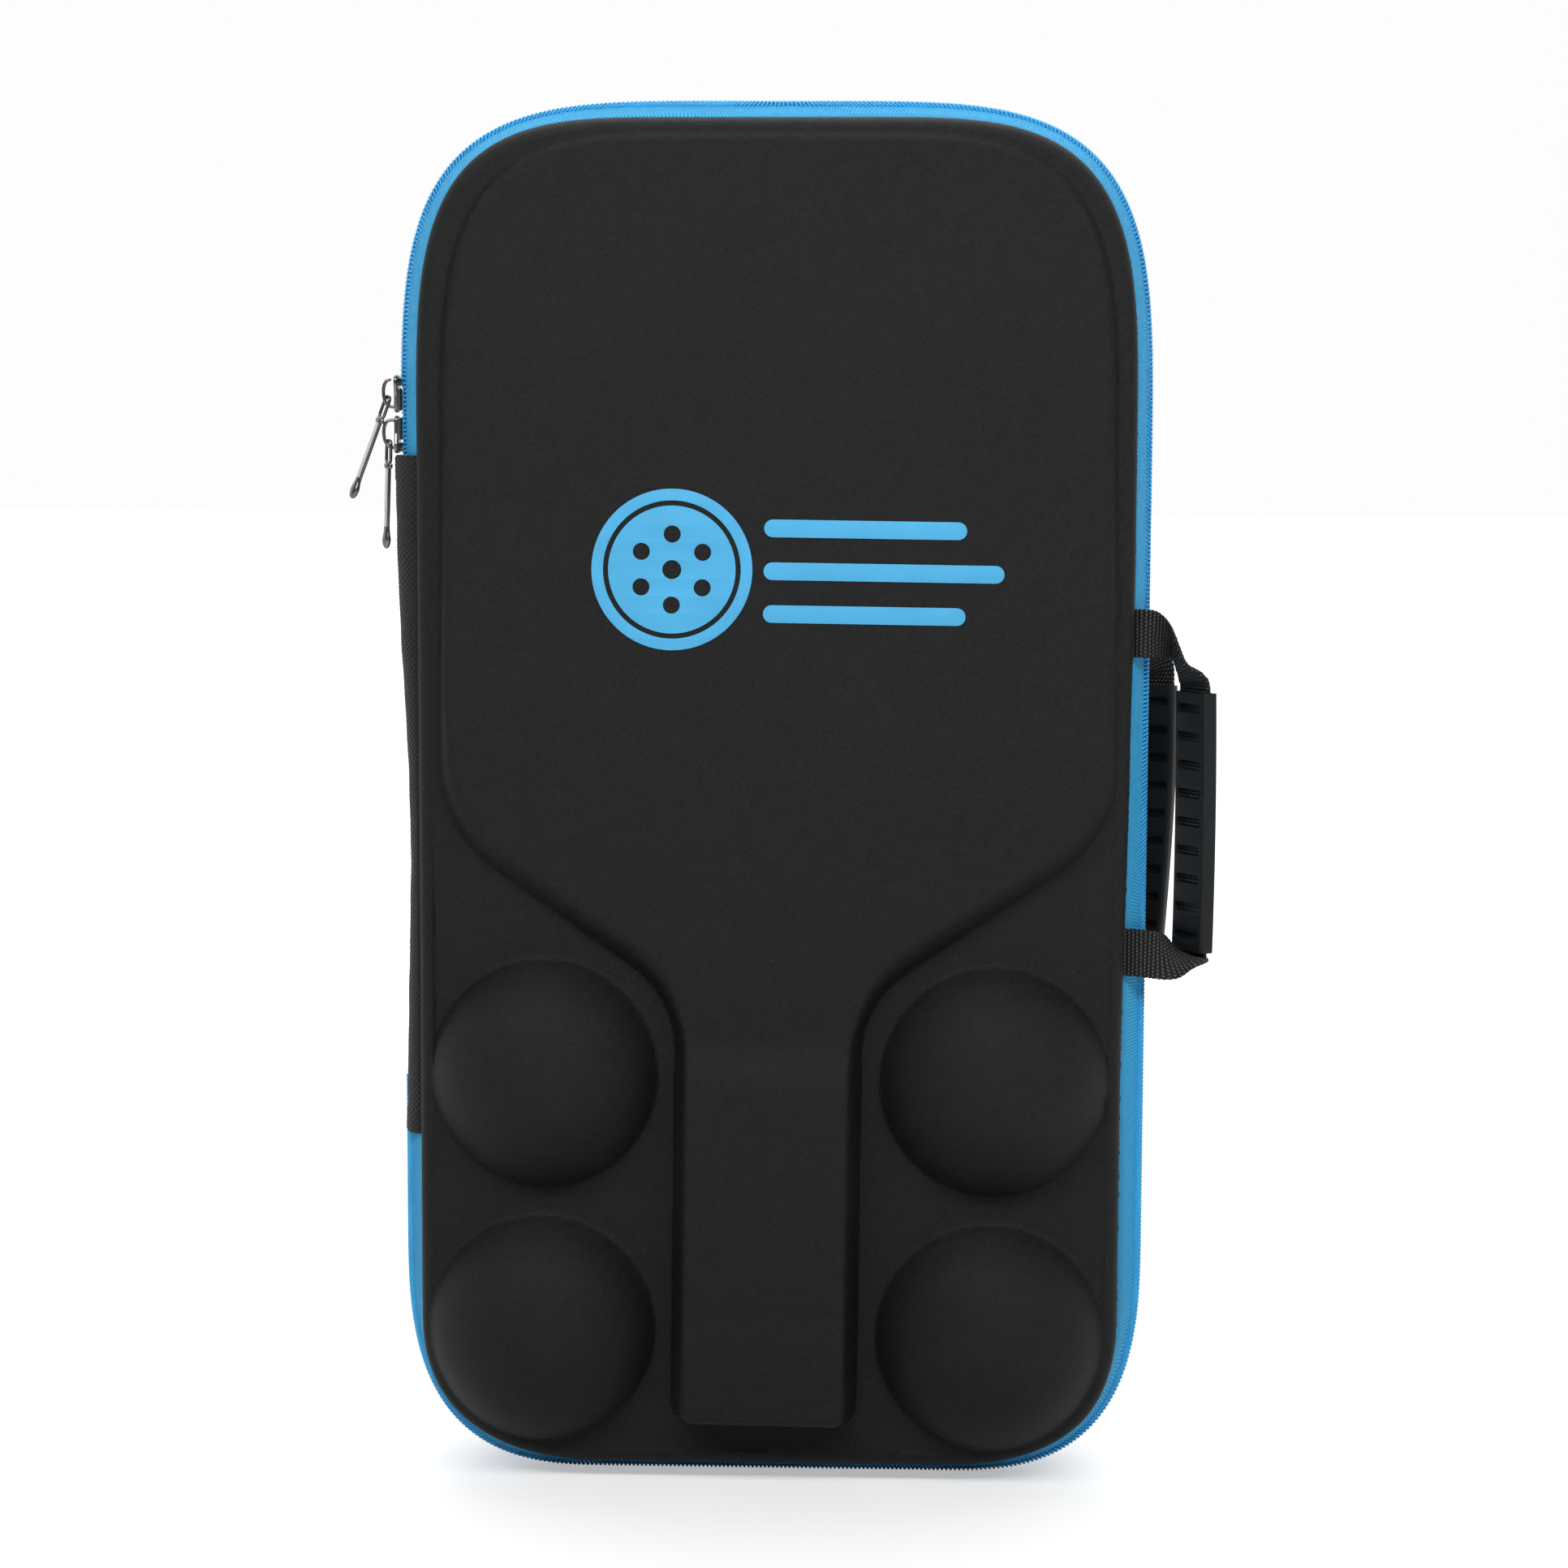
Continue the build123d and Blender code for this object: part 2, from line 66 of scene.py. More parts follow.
# ------------------------------------------------------------------ outlines
def corner(cx, cz, a, b, n, q, count):
    """Superellipse quarter q (0 right-bottom, 1 right-top, 2 left-top, 3 left-bottom), anticlockwise."""
    th = np.linspace(0, math.pi / 2, 400)
    c, s = np.cos(th) ** (2 / n), np.sin(th) ** (2 / n)
    if q == 0:
        x, z = cx + a * s, cz - b * c
    elif q == 1:
        x, z = cx + a * c, cz + b * s
    elif q == 2:
        x, z = cx - a * s, cz + b * c
    else:
        x, z = cx - a * c, cz - b * s
    p = np.stack([x, z], 1)
    L = np.concatenate([[0], np.cumsum(np.linalg.norm(np.diff(p, axis=0), axis=1))])
    t = np.linspace(0, L[-1], count)
    return np.stack([np.interp(t, L, p[:, 0]), np.interp(t, L, p[:, 1])], 1)


def loop_shape(hw, lo, hi, top, bot):
    """Closed outline from the middle of the bottom edge, anticlockwise, with matching point counts."""
    at, bt, nt = top
    ab, bb, nb = bot
    parts = [
        np.linspace((0, lo), (hw - ab, lo), 60)[:-1],
        corner(hw - ab, lo + bb, ab, bb, nb, 0, 120)[:-1],
        np.linspace((hw, lo + bb), (hw, hi - bt), 200)[:-1],
        corner(hw - at, hi - bt, at, bt, nt, 1, 200)[:-1],
        np.linspace((hw - at, hi), (-hw + at, hi), 60)[:-1],
        corner(-hw + at, hi - bt, at, bt, nt, 2, 200)[:-1],
        np.linspace((-hw, hi - bt), (-hw, lo + bb), 200)[:-1],
        corner(-hw + ab, lo + bb, ab, bb, nb, 3, 120)[:-1],
        np.linspace((-hw + ab, lo), (0, lo), 60)[:-1],
    ]
    return np.concatenate(parts)


def rim_shift(p):
    """The shell leans a little in its zip: the right edge pulls in low down."""
    x, z = p[:, 0], p[:, 1]
    right = np.clip(x / 114, 0, 1) ** 2
    dx = right * (0.9 * smooth(240, 300, z) - 1.9 * (1 - smooth(120, 250, z)) * smooth(5, 40, z))
    left = np.clip(-x / 114, 0, 1) ** 2
    dx = dx + left * 0.4 * smooth(60, 200, z)
    return np.stack([x + dx, z], 1)


rim0 = rim_shift(loop_shape(RIM_HW, RIM_LO, RIM_HI, (86, 102, 3.7), (60, 49, 2.4)))
seam0 = loop_shape(SEAM_HW, SEAM_LO, SEAM_HI, (105, 114, 3.85), (66, 80, 2.9))


def resample(n):
    q = np.vstack([rim0, rim0[:1]])
    L = np.concatenate([[0], np.cumsum(np.linalg.norm(np.diff(q, axis=0), axis=1))])
    t = np.linspace(0, L[-1], n, endpoint=False)
    sm = np.vstack([seam0, seam0[:1]])
    r = np.stack([np.interp(t, L, q[:, i]) for i in (0, 1)], 1)
    s = np.stack([np.interp(t, L, sm[:, i]) for i in (0, 1)], 1)
    tan = np.roll(r, -1, 0) - np.roll(r, 1, 0)
    tan /= np.linalg.norm(tan, axis=1)[:, None]
    out = np.stack([tan[:, 1], -tan[:, 0]], 1)
    return r, s, tan, out, t, L[-1]


def at(r, s, out, off):
    """Point at offset off outward from the rim: along the normal inside, towards the seam outline outside."""
    off = np.asarray(off, float)
    if off.ndim == 0:
        return r + (out * off if off < 0 else (s - r) * (off / SEAM_S))
    o = off[:, None]
    return np.where(o < 0, r + out * o, r + (s - r) * (o / SEAM_S))


# ------------------------------------------------------------- moulded relief
def poly_dist(px, pz, poly):
    """Signed distance to a closed polygon, positive inside."""
    a, b = poly, np.roll(poly, -1, 0)
    best = np.full(px.shape, 1e9)
    inside = np.zeros(px.shape, bool)
    for (ax, az), (bx, bz) in zip(a, b):
        ex, ez = bx - ax, bz - az
        ll = ex * ex + ez * ez
        if ll < 1e-12:
            continue
        t = np.clip(((px - ax) * ex + (pz - az) * ez) / ll, 0, 1)
        dx, dz = px - ax - t * ex, pz - az - t * ez
        np.minimum(best, dx * dx + dz * dz, out=best)
        if (az > pz.min()) or (bz > pz.min()):
            c = (az > pz) != (bz > pz)
            with np.errstate(divide="ignore", invalid="ignore"):
                xc = ax + (pz - az) * ex / (ez if abs(ez) > 1e-12 else 1e-12)
            inside ^= c & (px < xc)
    return np.where(inside, 1, -1) * np.sqrt(best)


def rounded(pts, radii, seg=10):
    """Polygon with its corners rounded."""
    out = []
    n = len(pts)
    for i in range(n):
        p, a, b = np.array(pts[i], float), np.array(pts[i - 1], float), np.array(pts[(i + 1) % n], float)
        r = radii[i]
        if r <= 0:
            out.append(p)
            continue
        u, v = (a - p) / np.linalg.norm(a - p), (b - p) / np.linalg.norm(b - p)
        ang = math.acos(float(np.clip(u @ v, -1, 1)))
        k = r / math.tan(ang / 2)
        t0, t1 = p + u * k, p + v * k
        w = (u + v) / np.linalg.norm(u + v)
        c = p + w * (r / math.sin(ang / 2))
        a0, a1 = math.atan2(*(t0 - c)[::-1]), math.atan2(*(t1 - c)[::-1])
        d = (a1 - a0 + math.pi) % (2 * math.pi) - math.pi
        for k2 in range(seg + 1):
            th = a0 + d * k2 / seg
            out.append(c + r * np.array([math.cos(th), math.sin(th)]))
    return np.array(out)


def blade_poly():
    hwl, hwt, top = 108.5, 106.9, 435.4
    a, b, n = 82, 98, 3.6
    th = np.linspace(0, math.pi / 2, 40)
    cr = np.stack([hwt - a + a * np.cos(th) ** (2 / n), top - b + b * np.sin(th) ** (2 / n)], 1)
    low = rounded([(0, 139.9), (hwl, 213.6), (hwt + 0.4, 340), (-hwt - 0.4, 340), (-hwl, 213.6)], [0, 42, 0, 0, 42], 12)
    lowr = low[(low[:, 0] > 0) & (low[:, 1] < 335)]
    right = np.vstack([lowr, cr])
    left = right[::-1] * [-1, 1]
    return np.vstack([[(0, 139.9)], right, left])


BLADE = blade_poly()
HANDLE = rounded([(-29.9, 20.0), (29.9, 20.0), (29.9, 190), (-29.9, 190)], [7.5, 7.5, 0, 0], 8)


def top_depth(v):
    """Depth of the relief's flat top along its length."""
    run = np.maximum(v - 212, 0)
    blade = 26.0 - 5.5 * (np.sqrt(run * run + 26.0 ** 2) - 26.0) / (math.sqrt(223.0 ** 2 + 26.0 ** 2) - 26.0)
    return blade + 5.5 * (1 - smooth(131, 149, v)) + 1.0 * (1 - smooth(49, 58.5, v))


def depth(x, z, t=0.0, detail=True):
    """Depth of the moulded face at x, z. t is how far inside the outer face."""
    k = math.tan(TILT)
    low = z < PIV
    u = x - FX + np.where(low, k * (PIV - z), 0.0) - 1.25 * smooth(185, 245, z) + 0.35 * (1 - smooth(150, 180, z))
    v = z + k * (x - FX) * (1 - smooth(230, 330, z))
    db = poly_dist(u, v, BLADE) - t
    dh = poly_dist(u, v, HANDLE) - t
    kk = 15.0
    h = np.clip(0.5 + 0.5 * (db - dh) / kk, 0, 1)
    D = dh * (1 - h) + db * h + kk * h * (1 - h)          # rounds the inner corner at the throat
    D = np.where((db < -kk) & (dh < -kk), np.maximum(db, dh), D)
    w = 3.4 + 5.6 * smooth(152, 178, v) * (1 - smooth(205, 262, v)) + 1.9 * (1 - smooth(140, 165, v))
    if t:
        w = np.maximum(w - 1.5, 1.5)
    D = 0.5 * (D + np.sqrt(D * D + 0.7 ** 2)) - 0.12 * np.exp(-(D / 1.2) ** 2)
    q = np.clip(D / w, 0, 1)
    prof = 1 - (1 - q) ** 2.3
    base = BASE_D - t
    out = base + (top_depth(v) - t - base) * prof
    rr = BALL_R - t
    for bx, bz in BALLS:
        r2 = ((x - bx) / 1.008) ** 2 + ((z - bz) / 1.036) ** 2
        dome = np.sqrt(np.maximum(rr * rr - r2, 0))
        dome = np.where(r2 < rr * rr * 0.98, dome, 0)
        m = 0.9
        hh = np.clip(0.5 + 0.5 * (dome - out) / m, 0, 1)
        out = np.where(r2 < rr * rr * 0.98, out * (1 - hh) + dome * hh + m * hh * (1 - hh), out)
    if detail:
        out = out + 0.07 * np.sin(x * 0.051 + 1.3 * np.sin(z * 0.023)) * np.sin(z * 0.041 + 0.7) + 0.03 * np.sin(x * 0.19 + z * 0.07) * np.sin(z * 0.16 - 1.0)
    return out


# ------------------------------------------------------------------- meshes
def make(name, verts, faces, mats=(), uv=None, mat_idx=None, smooth_shade=True):
    """verts in mm, faces a list of (k, n) index arrays, uv a matching list of (k, n, 2) arrays."""
    me = bpy.data.meshes.new(name)
    verts = np.asarray(verts, float) * MM
    faces = [np.asarray(f, np.int64) for f in faces if len(f)]
    me.vertices.add(len(verts))
    me.vertices.foreach_set("co", verts.astype(np.float32).ravel())
    idx = np.concatenate([f.ravel() for f in faces])
    sizes = np.concatenate([np.full(len(f), f.shape[1]) for f in faces])
    me.loops.add(len(idx))
    me.loops.foreach_set("vertex_index", idx.astype(np.int32))
    me.polygons.add(len(sizes))
    me.polygons.foreach_set("loop_start", np.concatenate([[0], np.cumsum(sizes)[:-1]]).astype(np.int32))
    if uv is not None:
        layer = me.uv_layers.new(name="mm")
        layer.data.foreach_set("uv", np.concatenate([u.reshape(-1, 2) for u in uv]).astype(np.float32).ravel())
    for m in mats:
        me.materials.append(m)
    if mat_idx is not None:
        me.polygons.foreach_set("material_index", np.asarray(mat_idx, np.int32))
    me.update(calc_edges=True)
    me.validate()
    me.polygons.foreach_set("use_smooth", np.full(len(me.polygons), smooth_shade))
    ob = bpy.data.objects.new(name, me)
    bpy.context.scene.collection.objects.link(ob)
    return ob


def grid_quads(n, m, close_n, close_m, U, V, base=0):
    """Quads over an (n, m) lattice. U has n+1 values when closed along n, V m+1 when closed along m."""
    i, j = np.meshgrid(np.arange(n if close_n else n - 1), np.arange(m if close_m else m - 1), indexing="ij")
    i, j = i.ravel(), j.ravel()
    i1, j1 = i + 1, j + 1
    f = np.stack([i * m + j, (i1 % n) * m + j, (i1 % n) * m + (j1 % m), i * m + (j1 % m)], 1) + base
    uv = np.stack([np.stack([U[i], V[j]], 1), np.stack([U[i1], V[j]], 1), np.stack([U[i1], V[j1]], 1), np.stack([U[i], V[j1]], 1)], 1)
    return f, uv


def bevel_curve(name, splines, thick, bevel, res=3):
    """A flat 2-D outline (first spline) with holes, thick mm, with rounded edges. Returns verts (mm) and faces."""
    cu = bpy.data.curves.new(name, "CURVE")
    cu.dimensions = "2D"
    cu.fill_mode = "BOTH"
    cu.extrude = max(thick / 2 - bevel, 0.0)
    cu.bevel_depth = bevel
    cu.bevel_resolution = res
    cu.offset = -bevel
    for pts in splines:
        sp = cu.splines.new("POLY")
        sp.points.add(len(pts) - 1)
        for p, q in zip(sp.points, pts):
            p.co = (q[0], q[1], 0, 1)
        sp.use_cyclic_u = True
    ob = bpy.data.objects.new(name, cu)
    bpy.context.scene.collection.objects.link(ob)
    dg = bpy.context.evaluated_depsgraph_get()
    me = bpy.data.meshes.new_from_object(ob.evaluated_get(dg))
    v = np.array([q.co for q in me.vertices], float).reshape(-1, 3)
    f = [list(p.vertices) for p in me.polygons]
    bpy.data.objects.remove(ob)
    bpy.data.curves.remove(cu)
    bpy.data.meshes.remove(me)
    return v, f


def make_list(name, verts, faces, mats=(), shade=True, weld=0.0):
    """Mesh from plain lists, welded."""
    me = bpy.data.meshes.new(name)
    me.from_pydata([tuple(c * MM for c in v) for v in verts], [], faces)
    for m in mats:
        me.materials.append(m)
    me.update()
    if weld:
        import bmesh
        bm = bmesh.new()
        bm.from_mesh(me)
        bmesh.ops.remove_doubles(bm, verts=bm.verts, dist=weld * MM)
        bmesh.ops.recalc_face_normals(bm, faces=bm.faces)
        bm.to_mesh(me)
        bm.free()
    me.polygons.foreach_set("use_smooth", [shade] * len(me.polygons))
    ob = bpy.data.objects.new(name, me)
    bpy.context.scene.collection.objects.link(ob)
    return ob


# ---------------------------------------------------------------- materials
class Mat:
    """Small helper for node materials."""

    def __init__(self, name, color, rough=0.6, metallic=0.0, spec=0.5, sheen=0.0, coat=0.0, sheen_rough=0.5):
        self.m = bpy.data.materials.new(name)
        self.m.use_nodes = True
        self.nt = self.m.node_tree
        self.b = self.nt.nodes["Principled BSDF"]
        self.b.inputs["Base Color"].default_value = (*color, 1)
        self.b.inputs["Roughness"].default_value = rough
        self.b.inputs["Metallic"].default_value = metallic
        self.b.inputs["Specular IOR Level"].default_value = spec
        self.b.inputs["Sheen Weight"].default_value = sheen
        self.b.inputs["Sheen Roughness"].default_value = sheen_rough
        self.b.inputs["Coat Weight"].default_value = coat
        self.m.diffuse_color = (*color, 1)

    def n(self, kind, **kw):
        node = self.nt.nodes.new(kind)
        for k, v in kw.items():
            setattr(node, k, v)
        return node

    def link(self, a, b):
        self.nt.links.new(a, b)

    def val(self, x):
        return x

    def math(self, op, a, b=None, c=None, clamp=False):
        node = self.n("ShaderNodeMath", operation=op, use_clamp=clamp)
        for i, q in enumerate((a, b, c)):
            if q is None:
                continue
            if isinstance(q, (int, float)):
                node.inputs[i].default_value = q
            else:
                self.link(q, node.inputs[i])
        return node.outputs[0]

    def coords(self, kind="Object"):
        tc = self.n("ShaderNodeTexCoord")
        sep = self.n("ShaderNodeSeparateXYZ")
        self.link(tc.outputs[kind], sep.inputs[0])
        return tc.outputs[kind], sep.outputs

    def uv(self):
        tc = self.n("ShaderNodeUVMap")
        tc.uv_map = "mm"
        sep = self.n("ShaderNodeSeparateXYZ")
        self.link(tc.outputs[0], sep.inputs[0])
        return tc.outputs[0], sep.outputs

    def noise(self, vec, scale, detail=3.0, rough=0.5):
        node = self.n("ShaderNodeTexNoise")
        node.inputs["Scale"].default_value = scale
        node.inputs["Detail"].default_value = detail
        node.inputs["Roughness"].default_value = rough
        self.link(vec, node.inputs["Vector"])
        return node.outputs["Fac"] if "Fac" in node.outputs else node.outputs[0]

    def ramp(self, fac, stops):
        node = self.n("ShaderNodeValToRGB")
        el = node.color_ramp.elements
        while len(el) < len(stops):
            el.new(0.5)
        for e, (p, c) in zip(el, stops):
            e.position = p
            e.color = (*c, 1) if len(c) == 3 else c
        self.link(fac, node.inputs[0])
        return node.outputs[0]

    def bump(self, height, dist, strength=1.0, normal=None):
        node = self.n("ShaderNodeBump")
        node.inputs["Distance"].default_value = dist
        node.inputs["Strength"].default_value = strength
        self.link(height, node.inputs["Height"])
        if normal is not None:
            self.link(normal, node.inputs["Normal"])
        return node.outputs[0]

    def set(self, socket, out):
        self.link(out, self.b.inputs[socket])


def sine01(M, x, period):
    return M.math("MULTIPLY_ADD", M.math("SINE", M.math("MULTIPLY", x, 2 * math.pi / period)), 0.5, 0.5)


def fabric_twill(name, dark, light, pitch=0.62, bump=0.00013, rough=0.56, spec=0.3):
    """Fine diagonal twill in UV millimetres, with thread variation, lint and faint wear."""
    M = Mat(name, light, rough=rough, spec=spec)
    vec, o = M.uv()
    wob = M.noise(vec, 0.55, 2.0)
    a = M.math("ADD", M.math("MULTIPLY", o[0], -0.70), M.math("MULTIPLY", o[1], 0.714))
    a = M.math("MULTIPLY_ADD", wob, 0.30, a)
    b = M.math("ADD", M.math("MULTIPLY", o[0], 0.714), M.math("MULTIPLY", o[1], 0.70))
    b = M.math("MULTIPLY_ADD", wob, 0.5, b)
    rib = sine01(M, a, pitch)
    yarn = sine01(M, M.math("MULTIPLY_ADD", a, 0.9, b), 0.46)
    h = M.math("MULTIPLY", rib, M.math("MULTIPLY_ADD", yarn, 0.72, 0.28))
    fuzz = M.noise(vec, 2.6, 2.0, 0.65)
    slub = M.noise(vec, 0.75, 2.0, 0.6)
    patch = M.noise(vec, 0.16, 3.0, 0.6)
    big = M.noise(vec, 0.022, 3.0, 0.55)
    grains = M.math("ADD", M.math("MULTIPLY", fuzz, 0.24), M.math("MULTIPLY_ADD", slub, 0.34, -0.14))
    tone = M.math("ADD", M.math("MULTIPLY", h, 0.50), M.math("ADD", grains, M.math("ADD", M.math("MULTIPLY", patch, 0.12), M.math("MULTIPLY", big, 0.06))))
    mid = tuple((p + q) / 2 for p, q in zip(dark, light))
    lint = M.noise(vec, 1.9, 1.0, 0.5)
    base = M.ramp(tone, [(0.20, dark), (0.40, mid), (0.68, light)])
    mix = M.n("ShaderNodeMix", data_type="RGBA")
    M.link(M.math("GREATER_THAN", lint, 0.803), mix.inputs[0])
    M.link(base, mix.inputs[6])
    mix.inputs[7].default_value = (0.11, 0.11, 0.115, 1)
    M.set("Base Color", mix.outputs[2])
    M.set("Roughness", M.math("MULTIPLY_ADD", M.math("ADD", M.math("MULTIPLY", h, 0.6), M.math("MULTIPLY", patch, 0.4)), -0.12, rough + 0.06))
    M.set("Normal", M.bump(M.math("MULTIPLY_ADD", fuzz, 0.5, h), bump))
    return M.m


def tape_weave(name, dark, light):
    """Herringbone tape in its own length and width (mm)."""
    M = Mat(name, light, rough=0.62, spec=0.3, sheen=0.15)
    vec, o = M.uv()
    fold = M.math("ABSOLUTE", M.math("SUBTRACT", o[1], 8.6))
    a = M.math("MULTIPLY_ADD", fold, 1.35, o[0])
    rib = sine01(M, a, 1.15)
    yarn = sine01(M, M.math("MULTIPLY_ADD", o[1], 1.0, M.math("MULTIPLY", o[0], -0.35)), 0.47)
    h = M.math("MULTIPLY", rib, M.math("MULTIPLY_ADD", yarn, 0.4, 0.6))
    big = M.noise(vec, 0.35, 3.0)
    fine = M.noise(vec, 9.0, 2.0)
    tone = M.math("ADD", M.math("MULTIPLY", h, 0.55), M.math("ADD", M.math("MULTIPLY", big, 0.3), M.math("MULTIPLY", fine, 0.15)))
    mid = tuple((p * 0.4 + q * 0.6) for p, q in zip(dark, light))
    M.set("Base Color", M.ramp(tone, [(0.15, dark), (0.5, mid), (0.85, light)]))
    M.set("Roughness", M.math("MULTIPLY_ADD", h, -0.2, 0.72))
    M.set("Normal", M.bump(M.math("ADD", h, M.math("MULTIPLY", fine, 0.3)), 0.00014))
    return M.m


def thread_weave(name, dark, light, pu, pv, bump=0.0001, spec=0.35, rough=0.6, sheen=0.1, flecks=0.0):
    """Plain or basket weave in UV millimetres."""
    M = Mat(name, light, rough=rough, spec=spec, sheen=sheen)
    vec, o = M.uv()
    wob = M.noise(vec, 1.3, 2.0)
    u = M.math("MULTIPLY_ADD", wob, 0.25, o[0])
    v = M.math("MULTIPLY_ADD", wob, 0.25, o[1])
    a, b = sine01(M, u, pu), sine01(M, v, pv)
    h = M.math("ADD", M.math("MULTIPLY", a, b), M.math("MULTIPLY", M.math("SUBTRACT", 1.0, a), M.math("SUBTRACT", 1.0, b)))
    fine = M.noise(vec, 7.0, 3.0, 0.6)
    big = M.noise(vec, 0.25, 3.0)
    tone = M.math("ADD", M.math("MULTIPLY", h, 0.5), M.math("ADD", M.math("MULTIPLY", fine, 0.35), M.math("MULTIPLY", big, 0.2)))
    stops = [(0.2, dark), (0.6, tuple((p + q) / 2 for p, q in zip(dark, light))), (0.85, light)]
    if flecks:
        stops.append((1.0, (flecks, flecks, flecks)))
    M.set("Base Color", M.ramp(tone, stops))
    M.set("Roughness", M.math("MULTIPLY_ADD", tone, -0.25, rough + 0.15))
    M.set("Normal", M.bump(M.math("ADD", h, M.math("MULTIPLY", fine, 0.4)), bump))
    return M.m


def solid(name, color, rough, metallic=0.0, spec=0.5, coat=0.0, grain=1400.0, bump=0.00002, vary=0.25, sheen=0.0):
    M = Mat(name, color, rough=rough, metallic=metallic, spec=spec, coat=coat, sheen=sheen)
    vec, o = M.coords("Object")
    fine = M.noise(vec, grain, 3.0, 0.6)
    big = M.noise(vec, 60.0, 3.0)
    tone = M.math("ADD", M.math("MULTIPLY", fine, 0.5), M.math("MULTIPLY", big, 0.5))
    lo, hi = tuple(c * (1 - vary) for c in color), tuple(min(1, c * (1 + vary)) for c in color)
    M.set("Base Color", M.ramp(tone, [(0.3, lo), (0.7, hi)]))
    M.set("Roughness", M.math("MULTIPLY_ADD", tone, 0.2, rough - 0.1))
    M.set("Normal", M.bump(fine, bump))
    return M.m


m_shell = fabric_twill("shell_fabric", (0.0012, 0.0013, 0.0014), (0.0205, 0.0211, 0.0223), rough=0.50, spec=0.22)
m_lining = solid("lining_brushed", (0.022, 0.022, 0.024), 0.85, spec=0.15, grain=1700, bump=0.00015, vary=0.45, sheen=0.25)
m_foam = solid("foam_edge", (0.012, 0.012, 0.013), 0.9, spec=0.2, grain=2500, bump=0.00008)
m_tape = tape_weave("zip_tape_weave", (0.008, 0.22, 0.50), (0.034, 0.56, 0.97))
m_coil = solid("zip_coil_nylon", (0.028, 0.44, 0.90), 0.30, spec=0.55, coat=0.25, grain=900, bump=0.00001, vary=0.2)
m_bind = thread_weave("binding_weave", (0.005, 0.005, 0.006), (0.02, 0.02, 0.022), 0.9, 0.7)
m_spine = thread_weave("spine_weave", (0.0015, 0.0015, 0.0017), (0.021, 0.0215, 0.0225), 2.0, 1.9, bump=0.0004, spec=0.32, rough=0.48, flecks=0.07)


def webbing(name):
    """Chunky filler ribs across the strap, each rib a row of staggered beads."""
    M = Mat(name, (0.012, 0.012, 0.013), rough=0.5, spec=0.32)
    vec, o = M.uv()
    rib = M.math("ABSOLUTE", M.math("SINE", M.math("MULTIPLY", o[0], math.pi / 1.32)))
    row = M.math("MULTIPLY", M.math("FLOOR", M.math("DIVIDE", o[0], 1.32)), 0.6)
    bead = M.math("ABSOLUTE", M.math("SINE", M.math("MULTIPLY", M.math("ADD", o[1], row), math.pi / 1.2)))
    fine = M.noise(vec, 4.5, 3.0, 0.65)
    big = M.noise(vec, 0.5, 2.0)
    h = M.math("MULTIPLY", M.math("POWER", rib, 0.6), M.math("MULTIPLY_ADD", bead, 0.55, 0.45))
    tone = M.math("ADD", M.math("MULTIPLY", h, 0.6), M.math("ADD", M.math("MULTIPLY", fine, 0.3), M.math("MULTIPLY", big, 0.1)))
    M.set("Base Color", M.ramp(tone, [(0.25, (0.0015, 0.0015, 0.0016)), (0.6, (0.010, 0.0102, 0.0108)), (0.72, (0.03, 0.0305, 0.032)), (0.8, (0.12, 0.12, 0.125))]))
    M.set("Roughness", M.math("MULTIPLY_ADD", tone, -0.3, 0.68))
    M.set("Normal", M.bump(M.math("MULTIPLY_ADD", fine, 0.35, h), 0.00028))
    return M.m


m_web = webbing("webbing_weave")
m_rubber = solid("grip_rubber", (0.0095, 0.0105, 0.0112), 0.5, spec=0.32, grain=2600, bump=0.00003, vary=0.15)
m_steel = solid("bright_nickel", (0.66, 0.66, 0.64), 0.32, metallic=1.0, spec=0.5, grain=500, bump=0.000006, vary=0.08)
m_metal = solid("black_nickel", (0.23, 0.23, 0.235), 0.24, metallic=0.95, spec=0.5, grain=500, bump=0.000006, vary=0.2)
m_print = solid("heat_print", (0.082, 0.452, 0.785), 0.6, spec=0.35, grain=3200, bump=0.00005, vary=0.1)
m_thread = solid("thread", (0.01, 0.01, 0.011), 0.6, spec=0.35, grain=4000, bump=0.00004, vary=0.3)


# ------------------------------------------------------------------- shells
def column_lines(lo, hi, pitch, dense):
    """Grid lines with closer spacing inside the dense bands."""
    out = [lo]
    while out[-1] < hi:
        p = out[-1]
        step = pitch
        for a, b, q in dense:
            if a - pitch < p < b:
                step = q
        out.append(p + step)
    return np.array(out)


